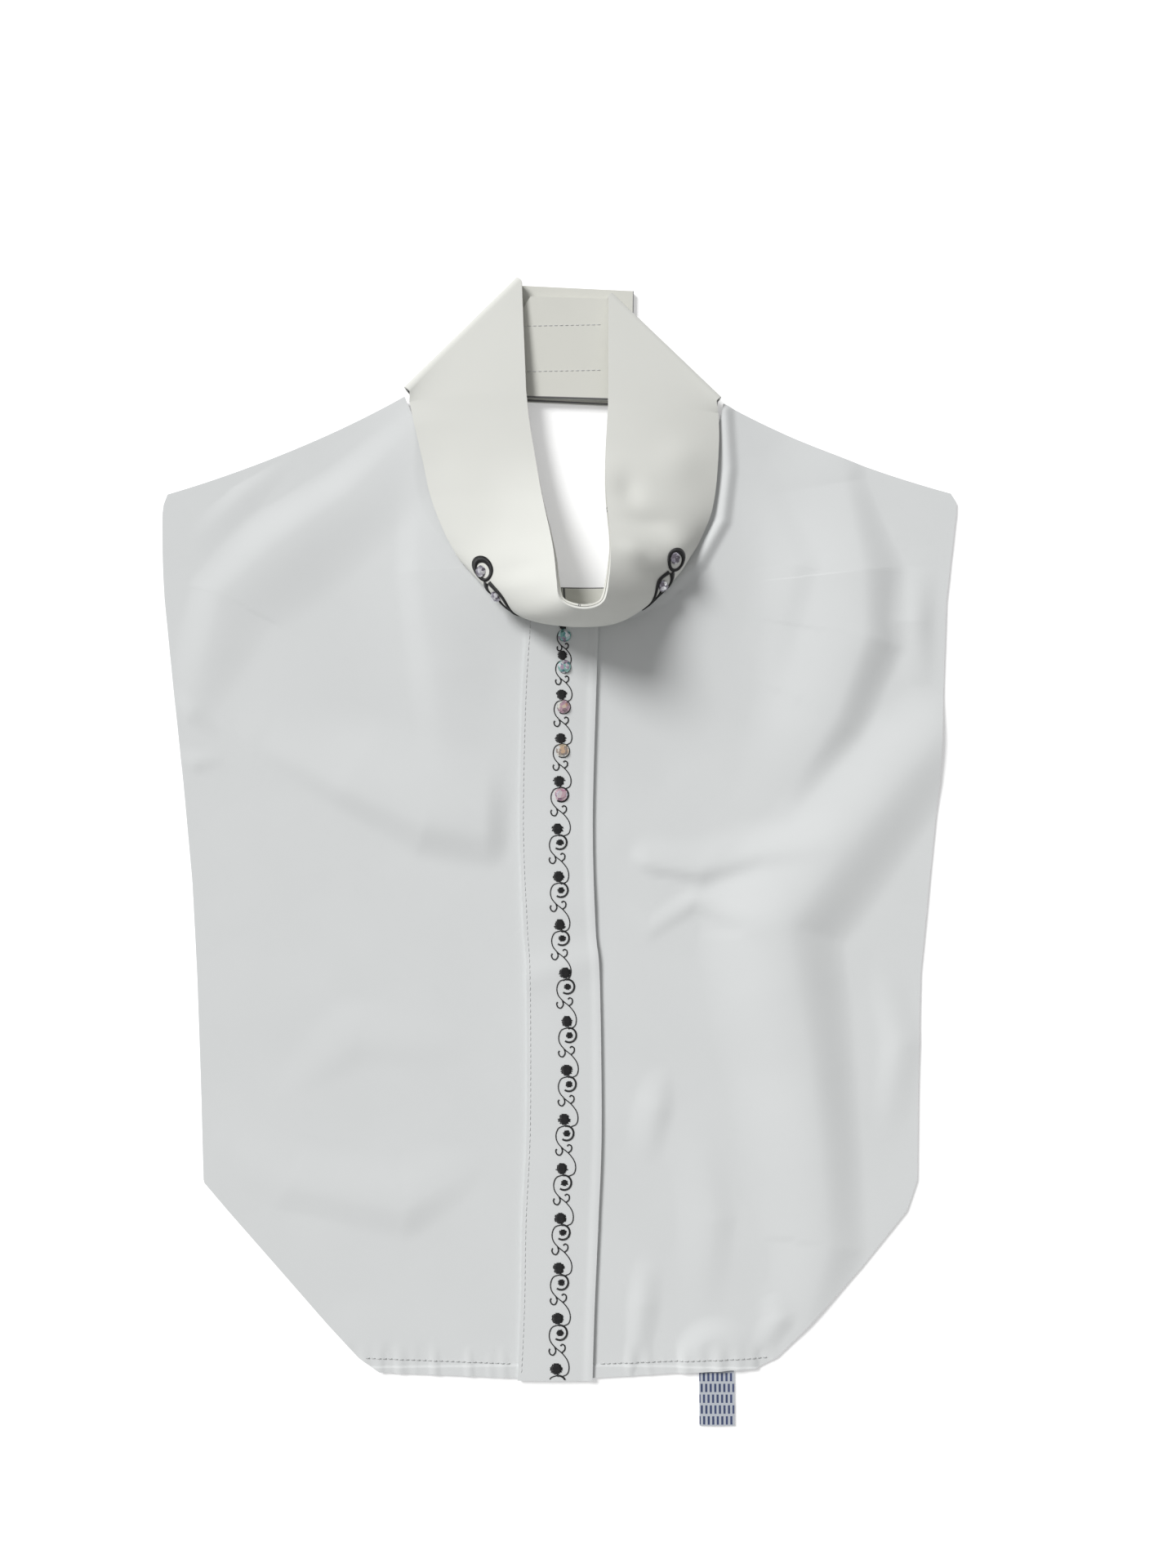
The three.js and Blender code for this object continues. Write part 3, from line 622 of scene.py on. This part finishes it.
# dents in the stand: station, share of height, depth, length in stations, width
DENTS = [(11.6, .55, -2.2, .5, .20), (13.0, .40, 1.2, .6, .18), (14.2, .62, -1.6, .55, .22),
         (15.6, .80, -1.4, .7, .12), (16.8, .35, 1.0, .8, .20), (12.4, .86, 1.2, .5, .10),
         (4.4, .55, -0.7, .9, .22), (2.6, .30, 0.6, .9, .24), (8.2, .45, 0.5, .5, .2),
         (10.3, .70, -1.0, .35, .2), (6.2, .75, -0.6, .5, .15)]
COLLAR_ACROSS = 49
COLLAR_HEIGHT = 50.5
STAND_ROWS = 420
RISE_ROWS, TURN_ROWS, UNDER_ROWS = 30, 14, 60  # of each back fold, from the stand outwards


def collar_band():
    """The mid surface of the whole band. Each row is a quadratic curve from the
    seam, past its bend, to the top edge; beyond the end stations it runs up to
    a slanting fold, turns half round under itself and runs on to its cut end."""
    v = np.linspace(0, 1, COLLAR_ACROSS)[None, :, None]
    fine = smooth_path(STATIONS, STAND_ROWS)
    sx, sy = fine[:, 0], fine[:, 1]
    at = np.linspace(0, len(STATIONS) - 1, len(fine))
    over_placket = span(6, 7, at) * (1 - span(11, 12, at))
    seam_over_bib = BIB_WALL + GAP + COLLAR_WALL + GAP / 2
    sz = bib_height(sx, sy) + seam_over_bib + over_placket * (PLACKET_WALL + GAP)
    seam = np.stack([sx, sy, sz], -1)[:, None]
    bend, top = fine[:, None, 2:5], fine[:, None, 5:8]
    stand = (1 - v) ** 2 * seam + 2 * v * (1 - v) * bend + v ** 2 * top
    normal = grid_normals(stand)
    depth = np.zeros(stand.shape[:2])
    for station, share, deep, length, width in DENTS:
        depth += deep * np.exp(-((at[:, None] - station) / length) ** 2
                               - ((v[0, :, 0][None] - share) / width) ** 2)
    stand = stand + normal * depth[..., None]

    def fold(kind, end_row):
        """Rows beyond one end of the stand: up to the fold, round, and under."""
        low, high = np.array(kind["low"]), np.array(kind["high"])
        line = np.zeros((COLLAR_ACROSS, 3))
        line[:, :2] = mix(low, high, v[0])
        line[:, 2] = kind["mid"]
        d = high - low
        away = unit(np.array([-d[1], d[0], 0.0]))
        away = -away if away[1] < 0 else away
        radius = (kind["mid"] - kind["under"]) / 2
        rise = np.linspace(0.06, 1, RISE_ROWS)[:, None, None]
        rows = [mix(end_row[None], line[None], ease(rise) * 0.3 + rise * 0.7)]
        angle = np.linspace(0, np.pi, TURN_ROWS + 1)[1:, None, None]
        rows.append(line[None] + away * radius * np.sin(angle)
                    - np.array([0, 0, 1.0]) * radius * (1 - np.cos(angle)))
        t = np.linspace(0, 1, UNDER_ROWS + 1)[1:, None, None]
        length = mix(kind["ends"][0], kind["ends"][1], v[0])[None]
        start = line.copy()
        start[:, 2] = kind["under"]
        rows.append(start[None] + t * length * np.array([*kind["run"], 0.0]))
        return np.concatenate(rows)

    return np.concatenate([fold(LEFT_FOLD, stand[0])[::-1], stand, fold(RIGHT_FOLD, stand[-1])])


def grid_normals(grid):
    """Outward normals: lengthwise step crossed with the step across."""
    return unit(np.cross(np.gradient(grid, axis=0), np.gradient(grid, axis=1)))


def collar_uv(grid):
    """Lengths along and across the band, in metres."""
    step = np.linalg.norm(np.diff(grid[:, COLLAR_ACROSS // 2], axis=0), axis=1)
    along = np.concatenate([[0], np.cumsum(step)])
    across = np.linspace(0, COLLAR_HEIGHT, COLLAR_ACROSS)
    return np.stack(np.meshgrid(along, across, indexing="ij"), -1) * MM


def collar_point(station, share, lift):
    """Points and normals on the collar's outer face at stations and shares of
    its height, `lift` millimetres above the cloth."""
    grid = collar_band()
    normal = grid_normals(grid)
    first = RISE_ROWS + TURN_ROWS + UNDER_ROWS  # the left fold's rows come before the stand's
    row = first + np.asarray(station, float) * (STAND_ROWS - 1) / (len(STATIONS) - 1)
    column = np.asarray(share, float) * (COLLAR_ACROSS - 1)
    r, c = row.astype(int), column.astype(int)
    f, g = (row - r)[..., None], (column - c)[..., None]

    def at(values):
        """Values of the grid between its points, blended both ways."""
        low = mix(values[r, c], values[r, c + 1], g)
        return mix(low, mix(values[r + 1, c], values[r + 1, c + 1], g), f)

    n = unit(at(normal))
    return at(grid) + n * (GAP / 2 + COLLAR_WALL + lift), n


class DICKEY_OT_collar(bpy.types.Operator):
    """Make the stand collar's outer cloth and its checked lining"""
    bl_idname = "dickey.collar"
    bl_label = "Collar"

    def execute(self, context):
        grid = collar_band()
        normal = grid_normals(grid)
        uv = collar_uv(grid)
        outer = cloth_material("collar cotton", (*settings().collar_colour, 1), (0.71, 0.715, 0.675, 1), 2200)
        lining = cloth_material("check lining", (0.72, 0.72, 0.665, 1), (0.68, 0.68, 0.63, 1), 2000,
                                check=0.85)
        for name, inside, outside, look, slot, area in (
                ("cloth_collar_outer", GAP / 2, GAP / 2 + COLLAR_WALL, outer, "collar_cotton", 0.0235),
                ("cloth_collar_lining", -GAP / 2 - COLLAR_WALL, -GAP / 2, lining, "check_lining", 0.0225)):
            lower = (grid + normal * inside)[:, ::-1]
            upper = (grid + normal * outside)[:, ::-1]
            obj = wall_object(name, lower, upper, uv[:, ::-1], look)
            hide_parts(name.replace("cloth_", ""))
        return {"FINISHED"}


# ---- embroidery -----------------------------------------------------------
def on_placket(x, y, lift):
    """Points at a height over the placket's face."""
    return np.stack([x, y, placket_top(x, y) + lift], -1)


def satin(centre, half_width, half_height, rows):
    """A bud of satin stitches: short straight stitches side by side, each as
    wide as an ellipse is there, uneven by a seeded draw."""
    lines = []
    for k in range(rows):
        t = -1 + 2 * (k + 0.5) / rows
        w = half_width * math.sqrt(max(1 - t * t, 0.05)) * rng.uniform(0.78, 1.12)
        slant = rng.uniform(-0.12, 0.12)
        s = np.linspace(-1, 1, 5)
        lines.append((centre[0] + s * w, centre[1] + t * half_height + s * slant * 0.64))
    return lines


def scroll_unit(cx, cy, size, jewelled):
    """One unit of the border about its ring's centre: a bud of satin above, a
    ring, a long double curve to the next bud and a pair of small curls.
    Returns (x, y, radius) strokes."""
    strokes = []
    turn = np.linspace(math.radians(100), math.radians(-125), 20)
    ring = 3.1 * size
    strokes.append((cx + ring * np.cos(turn), cy + ring * np.sin(turn), 0.42))
    long_curve = smooth_path([(-.5, 3.2), (-3.3, 2.2), (-4.5, -.6), (-4.0, -3.6), (-1.9, -6.2),
                              (1.0, -8.6), (3.3, -11.6), (4.0, -14.6), (3.2, -17.2), (.6, -18.4)], 44)
    strokes.append((cx + long_curve[:, 0] * size, cy + long_curve[:, 1] * size, 0.24))
    for curl in ([(-2.2, -5.9), (-1.7, -7.7), (-2.7, -9.3), (-4.0, -9.0), (-4.6, -7.6), (-4.2, -6.7)],
                 [(.9, -8.3), (2.1, -7.2), (2.2, -5.6), (1.1, -4.9), (.3, -5.5)]):
        path = smooth_path(curl, 16)
        strokes.append((cx + path[:, 0] * size, cy + path[:, 1] * size, 0.3))
    for x, y in satin((cx - 1.0 * size, cy + 5.9 * size), 2.5 * size, 2.3 * size, 11):
        strokes.append((x, y, 0.26))
    if not jewelled:
        for x, y in satin((cx + .1, cy - .1), 1.6 * size, 1.3 * size, 6):
            strokes.append((x, y, 0.22))
    return strokes


BORDER_TOP = 87.6
STONE_STEPS = (0, 13.6, 31.2, 50.4, 69.7)  # of the jewelled rings below the top one
PLAIN_PITCH = 20.85


def border_rings():
    """Ring centres down the border: jewelled ones first, then plain ones."""
    ys = [BORDER_TOP - s for s in STONE_STEPS]
    while ys[-1] > -224:
        ys.append(ys[-1] - PLAIN_PITCH)
    ys = np.array(ys)
    by, bx = np.array(BORDER).T
    return np.interp(ys, by, bx), ys


class DICKEY_OT_embroidery(bpy.types.Operator):
    """Make the black scroll border and the looped motifs of the collar"""
    bl_idname = "dickey.embroidery"
    bl_label = "Embroidery"

    def execute(self, context):
        paths, radii = [], []
        xs, ys = border_rings()
        for i, (cx, cy) in enumerate(zip(xs, ys)):
            pitch = ys[i] - ys[i + 1] if i + 1 < len(ys) else PLAIN_PITCH
            size = max(0.72, min(1.0, pitch / 21.0))
            for x, y, r in scroll_unit(cx, cy, size, i < len(STONE_STEPS)):
                keep = (y > -231.0) & (y < 100.5)
                if keep.sum() > 2:
                    paths.append(on_placket(x[keep], y[keep], 0.08))
                    radii.append(r)
        verts, faces = tube_mesh(paths, radii)
        border = make_object("embroidery_border", verts, faces)
        border.data.materials.append(black_thread())
        for side in (-1, 1):
            paths, radii = [], []
            for loop in self.loops():
                at = 18.6 - loop[:, 0] if side > 0 else loop[:, 0]
                across = np.gradient(np.stack([at * 14, loop[:, 1] * 50], 1), axis=0)
                across = unit(np.stack([-across[:, 1], across[:, 0]], 1))
                half = loop[:, 2]
                a = (at - across[:, 0] * half / 14, loop[:, 1] - across[:, 1] * half / 50)
                b = (at + across[:, 0] * half / 14, loop[:, 1] + across[:, 1] * half / 50)
                ends = [collar_point(p[0], np.clip(p[1], .02, .98), 0.12)[0] for p in (a, b)]
                middle = collar_point(at, np.clip(loop[:, 1], .02, .98), 0.5)[0]
                paths += [np.stack([p, q, r]) for p, q, r in zip(ends[0], middle, ends[1])]
                radii += [0.27] * len(at)
            verts, faces = tube_mesh(paths, radii, sides=5)
            motif = make_object("embroidery_collar_" + ("left" if side < 0 else "right"), verts, faces)
            motif.data.materials.append(black_thread())
        return {"FINISHED"}

    def loops(self):
        """The motif of one side: a round loop over two leaf-shaped ones, with
        (station, share of height, half width in mm) along each."""
        t = np.linspace(0, 2 * np.pi, 90)
        round_loop = np.stack([6.1 + 0.42 * np.cos(t), 0.40 + 0.11 * np.sin(t),
                               1.25 + 0.5 * np.cos(t + 2.6)], 1)
        s = np.linspace(0, 1, 90)
        leaf_a = np.stack([6.65 + 1.35 * s, 0.40 - 0.02 * s - 0.12 * np.sin(np.pi * s),
                           1.4 - 0.9 * s], 1)
        leaf_b = np.stack([6.65 + 1.35 * s, 0.45 - 0.06 * s + 0.10 * np.sin(np.pi * s),
                           1.5 - 1.0 * s], 1)
        vein = np.stack([7.4 + 0.8 * s, 0.41 - 0.04 * s, 0.8 - 0.4 * s], 1)
        tail = np.stack([8.0 + 0.7 * s, 0.36 - 0.2 * s, 0.35 + 0 * s], 1)
        return [round_loop, leaf_a, leaf_b, vein, tail]


# ---- stones ---------------------------------------------------------------
STONE_HEIGHT = 2.0


def cut_stone(radius, height, sides=12):
    """A flat-backed stone: rings of points at the girdle, the crown's two tiers
    (turned half a step against each other) and the table, with a centre point."""
    tiers = [(1.0, 0.0, 0), (1.0, 0.22, 0), (0.80, 0.62, .5), (0.52, 1.0, 0)]
    verts = [(0, 0, 0)]
    for share, level, turn in tiers:
        a = (np.arange(sides) + turn) * 2 * np.pi / sides
        verts += list(zip(radius * share * np.cos(a), radius * share * np.sin(a),
                          np.full(sides, height * level)))
    verts.append((0, 0, height))
    i = np.arange(sides)
    j = (i + 1) % sides
    ring = [1 + k * sides for k in range(len(tiers))]
    faces = [np.stack([np.zeros(sides, int), ring[0] + j, ring[0] + i], 1)]
    for k in range(len(tiers) - 1):
        a, b = ring[k], ring[k + 1]
        faces += [np.stack([a + i, a + j, b + i], 1), np.stack([a + j, b + j, b + i], 1)]
    last = ring[-1]
    faces.append(np.stack([last + i, last + j, np.full(sides, len(verts) - 1)], 1))
    return np.array(verts, float), np.concatenate(faces)


def place_stone(name, base, normal, node_name, material, radius):
    """A stone with its flat back on base and its table facing along normal."""
    verts, faces = cut_stone(radius, STONE_HEIGHT)
    turn = Vector((0, 0, 1)).rotation_difference(Vector(normal)).to_matrix()
    verts = verts @ np.array(turn).T + base
    obj = make_object(name, verts, faces, smooth=False)
    obj.data.materials.append(material)
    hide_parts(node_name)


class DICKEY_OT_stones(bpy.types.Operator):
    """Make the cut stones of the placket and of the collar"""
    bl_idname = "dickey.stones"
    bl_label = "Stones"

    def execute(self, context):
        # painted facet reflections: each coated stone's light and dark tints, mixed with its coating's
        # colours
        facet_reflection_tints = [
            [(.10, .30, .30), (.55, .75, .75), (.20, .45, .42), (.8, .85, .9), (.35, .3, .4)],
            [(.15, .35, .40), (.60, .45, .60), (.35, .65, .60), (.85, .85, .9), (.3, .25, .35)],
            [(.75, .40, .30), (.70, .45, .55), (.90, .75, .6), (.45, .30, .35), (.85, .85, .8)],
            [(.75, .62, .45), (.85, .60, .40), (.90, .85, .75), (.5, .4, .35), (.8, .8, .8)],
            [(.70, .35, .50), (.80, .55, .62), (.90, .80, .82), (.45, .25, .38), (.75, .7, .8)]]
        xs, ys = border_rings()
        for k in range(len(STONE_STEPS)):
            x, y = np.array([xs[k]]), np.array([ys[k]])
            slope = (placket_top(x, y + 2) - placket_top(x, y - 2))[0] / 4
            normal = unit(np.array([0, -slope, 1.0]))
            base = on_placket(x, y, 0.12)[0]
            place_stone(f"jewel_placket_{k + 1}", base, normal, f"stone_placket_{k + 1}",
                        stone_material(f"iridescent stone {k + 1}", facet_reflection_tints[k]),
                        settings().placket_stone / MM)
        # painted reflections: the clear stone's light and dark tints stand in for what its facets reflect
        clear = stone_material("clear stone", [(.75, .73, .80), (.35, .33, .40), (.9, .9, .95),
                                               (.18, .16, .2), (.95, .95, .97)])
        places = (("left_upper", 6.15, .38), ("left_lower", 7.2, .42),
                  ("right_upper", 12.6, .44), ("right_lower", 11.3, .42))
        for name, station, share in places:
            base, normal = collar_point(station, share, 0.1)
            place_stone(f"jewel_collar_{name}", base, normal, f"stone_collar_{name}", clear,
                        settings().collar_stone / MM)
        return {"FINISHED"}


# ---- stitches -------------------------------------------------------------
def stitch_row(points, pitch, radius, fill=0.72):
    """Short humped stitches laid along a line of points, one every pitch."""
    points = np.asarray(points, float)
    step = np.linalg.norm(np.diff(points, axis=0), axis=1)
    along = np.concatenate([[0], np.cumsum(step)])
    starts = np.arange(0, along[-1] - pitch, pitch)
    paths = []
    for start in starts:
        s = start + np.linspace(0, pitch * fill, 5)
        p = np.stack([np.interp(s, along, points[:, k]) for k in range(3)], 1)
        p[:, 2] += radius * np.array([-.8, .4, .7, .4, -.8])
        paths.append(p)
    return paths, [radius] * len(paths)


class DICKEY_OT_stitching(bpy.types.Operator):
    """Make the hem, placket and collar stitches"""
    bl_idname = "dickey.stitching"
    bl_label = "Stitching"

    def execute(self, context):
        rows = []
        for x0, x1 in ((-82, -19), (18, 90)):  # the hem, left and right of the placket
            x = np.linspace(x0, x1, 80)
            y = -225.4 + 0.038 * np.abs(x)
            rows.append(np.stack([x, y, fine_height(x, y) + BIB_WALL + .38], -1))
        y = np.linspace(-228, 100, 300)
        left = placket_edges(y)[0]
        rows.append(on_placket(left + 1.5, y, 0.02))
        for off in (208, 229):  # two rows across the band at the back
            x = np.linspace(-17, 21, 30)
            z = np.full(30, RIGHT_FOLD["under"] + COLLAR_WALL + GAP / 2 + 0.02)
            rows.append(np.stack([x, off + 0.02 * x, z], -1))
        paths, radii = [], []
        for row in rows:
            p, r = stitch_row(row, 2.4, 0.16)
            paths += p
            radii += r
        verts, faces = tube_mesh(paths, radii, sides=5)
        obj = make_object("stitches_white", verts, faces)
        obj.data.materials.append(thread_material("white thread", (0.55, 0.56, 0.56, 1), 0.7))
        return {"FINISHED"}


# ---- the label ------------------------------------------------------------
class DICKEY_OT_label(bpy.types.Operator):
    """Make the woven ribbon label with plain bars"""
    bl_idname = "dickey.label"
    bl_label = "Label"

    def execute(self, context):
        x = np.linspace(LABEL["left"], LABEL["left"] + LABEL["width"], 24)[None] + np.zeros((60, 1))
        y = np.linspace(LABEL["low"], LABEL["high"], 60)[:, None] + np.zeros((1, 24))
        lift = 0.25 * (1 - span(-250, -240, y)) * np.sin((x - LABEL["left"]) / LABEL["width"] * np.pi)
        uv = np.stack([x - LABEL["left"], y - LABEL["low"]], -1) / LABEL["width"]
        ribbon = self.ribbon_material()
        obj = wall_object("cloth_label", np.stack([x, y, lift], -1),
                          np.stack([x, y, lift + LABEL["wall"]], -1), uv, ribbon)
        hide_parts("label")
        return {"FINISHED"}

    def ribbon_material(self):
        """Woven ribbon: plain navy bars of a brick pattern on a pale ground."""
        material = bpy.data.materials.new("woven ribbon")
        material.use_nodes = True
        tree = material.node_tree
        shader = tree.nodes["Principled BSDF"]
        shader.inputs["Roughness"].default_value = 0.7
        place = node(tree, "ShaderNodeTexCoord")
        bars = node(tree, "ShaderNodeTexBrick")
        bars.inputs["Scale"].default_value = 1.0
        bars.inputs["Color1"].default_value = (0.04, 0.06, 0.14, 1)
        bars.inputs["Color2"].default_value = (0.06, 0.08, 0.18, 1)
        bars.inputs["Mortar"].default_value = (0.50, 0.53, 0.58, 1)
        bars.inputs["Mortar Size"].default_value = 0.035
        bars.inputs["Brick Width"].default_value = 0.13
        bars.inputs["Row Height"].default_value = 0.30
        tree.links.new(place.outputs["UV"], bars.inputs["Vector"])
        tree.links.new(bars.outputs["Color"], shader.inputs["Base Color"])
        relief = node(tree, "ShaderNodeBump")
        relief.inputs["Strength"].default_value = 0.2
        relief.inputs["Distance"].default_value = 0.0001
        tree.links.new(bars.outputs["Fac"], relief.inputs["Height"])
        tree.links.new(relief.outputs["Normal"], shader.inputs["Normal"])
        return material


# ---- the stage ------------------------------------------------------------
CAMERA_HEIGHT = 600.0  # mm from the camera to the point that it looks at
CAMERA_TILT = math.radians(4.5)
LOOK_AT = (12.7, 22.8)
FRAME_MM = 691.2  # what the long side of the view spans at that point


class DICKEY_OT_stage(bpy.types.Operator):
    """Make the pale floor, the soft lights and the camera"""
    bl_idname = "dickey.stage"
    bl_label = "Stage"

    def execute(self, context):
        scene = context.scene
        scene.view_settings.view_transform = "Standard"
        mesh = bpy.data.meshes.new("floor")
        mesh.from_pydata([(-4, -4, 0), (4, -4, 0), (4, 4, 0), (-4, 4, 0)], [], [(0, 1, 2, 3)])
        floor = bpy.data.objects.new("floor", mesh)
        floor.location.z = -0.0003
        scene.collection.objects.link(floor)
        mesh.materials.append(self.floor_material())
        world = bpy.data.worlds.new("studio")
        world.use_nodes = True
        background = world.node_tree.nodes["Background"]
        background.inputs["Color"].default_value = (1, 1, 1, 1)
        background.inputs["Strength"].default_value = settings().fill
        scene.world = world
        lamp = bpy.data.lights.new("window", "SUN")
        lamp.energy = settings().key
        lamp.angle = settings().key_size
        sun = bpy.data.objects.new("window", lamp)
        sun.rotation_euler = Vector((-0.62, 0.58, 0.78)).to_track_quat("Z", "Y").to_euler()
        scene.collection.objects.link(sun)
        data = bpy.data.cameras.new("camera")
        data.sensor_width = 36
        data.lens = 36 * CAMERA_HEIGHT / FRAME_MM
        camera = bpy.data.objects.new("camera", data)
        target = np.array([*LOOK_AT, 0]) + SHIFT
        back = np.array([0, -math.sin(CAMERA_TILT), math.cos(CAMERA_TILT)]) * CAMERA_HEIGHT
        camera.location = (target + back) * MM
        camera.rotation_euler = (CAMERA_TILT, 0, 0)
        scene.collection.objects.link(camera)
        scene.camera = camera
        return {"FINISHED"}

    def floor_material(self):
        """White floor: diffuse, plus a glow that only the eye, gloss and glass
        see, so that the ground reads white and keeps the shadow."""
        material = bpy.data.materials.new("floor white")
        material.use_nodes = True
        tree = material.node_tree
        shader = tree.nodes["Principled BSDF"]
        shader.inputs["Base Color"].default_value = (0.9, 0.9, 0.9, 1)
        shader.inputs["Roughness"].default_value = 1.0
        shader.inputs["Emission Color"].default_value = (1, 1, 1, 1)
        rays = node(tree, "ShaderNodeLightPath")
        total = rays.outputs["Is Camera Ray"]
        for other in ("Is Glossy Ray", "Is Transmission Ray"):
            add = node(tree, "ShaderNodeMath", operation="ADD", use_clamp=True)
            tree.links.new(total, add.inputs[0])
            tree.links.new(rays.outputs[other], add.inputs[1])
            total = add.outputs[0]
        glow = node(tree, "ShaderNodeMath", operation="MULTIPLY")
        tree.links.new(total, glow.inputs[0])
        glow.inputs[1].default_value = 0.3
        tree.links.new(glow.outputs[0], shader.inputs["Emission Strength"])
        return material


# ---- settings, panel and registration -------------------------------------
class DickeySettings(bpy.types.PropertyGroup):
    bib_colour: bpy.props.FloatVectorProperty(
        name="Bib colour", description="Colour of the bib's cotton", subtype="COLOR",
        default=(0.725, 0.74, 0.74), min=0, max=1)
    collar_colour: bpy.props.FloatVectorProperty(
        name="Collar colour", description="Colour of the stiffened collar", subtype="COLOR",
        default=(0.745, 0.75, 0.71), min=0, max=1)
    thread_colour: bpy.props.FloatVectorProperty(
        name="Thread colour", description="Colour of the embroidery thread", subtype="COLOR",
        default=(0.006, 0.006, 0.007), min=0, max=1)
    placket_stone: bpy.props.FloatProperty(
        name="Placket stone radius", description="Radius of the stones on the placket",
        default=0.0029, min=0.001, subtype="DISTANCE", unit="LENGTH")
    collar_stone: bpy.props.FloatProperty(
        name="Collar stone radius", description="Radius of the stones on the collar",
        default=0.0026, min=0.001, subtype="DISTANCE", unit="LENGTH")
    key_size: bpy.props.FloatProperty(
        name="Key light size", description="Angle that the light from the upper left spans",
        default=math.radians(22), min=0, subtype="ANGLE", unit="ROTATION")
    key: bpy.props.FloatProperty(
        name="Key light", description="Strength of the light from the upper left", default=2.7, min=0)
    fill: bpy.props.FloatProperty(
        name="Fill light", description="Strength of the light all round", default=0.34, min=0)


class DICKEY_PT_panel(bpy.types.Panel):
    """Makers of the dickey's pieces"""
    bl_idname = "DICKEY_PT_panel"
    bl_label = "Dickey"
    bl_space_type = "VIEW_3D"
    bl_region_type = "UI"
    bl_category = "Dickey"

    def draw(self, context):
        for name in DickeySettings.__annotations__:
            self.layout.prop(context.scene.dickey_settings, name)
        for maker in MAKERS:
            self.layout.operator(maker.bl_idname)


MAKERS = (DICKEY_OT_stage, DICKEY_OT_bib, DICKEY_OT_collar, DICKEY_OT_embroidery, DICKEY_OT_stones,
          DICKEY_OT_stitching, DICKEY_OT_label)
CLASSES = (DickeySettings, *MAKERS, DICKEY_PT_panel)


def register():
    """Add the classes and the scene's settings."""
    for cls in CLASSES:
        bpy.utils.register_class(cls)
    bpy.types.Scene.dickey_settings = bpy.props.PointerProperty(type=DickeySettings)


def unregister():
    """Take the settings and the classes away again."""
    del bpy.types.Scene.dickey_settings
    for cls in reversed(CLASSES):
        bpy.utils.unregister_class(cls)


def main():
    """Make every piece in order."""
    register()
    for maker in MAKERS:
        group, name = maker.bl_idname.split(".")
        getattr(getattr(bpy.ops, group), name)()


if __name__ == "__main__":
    main()
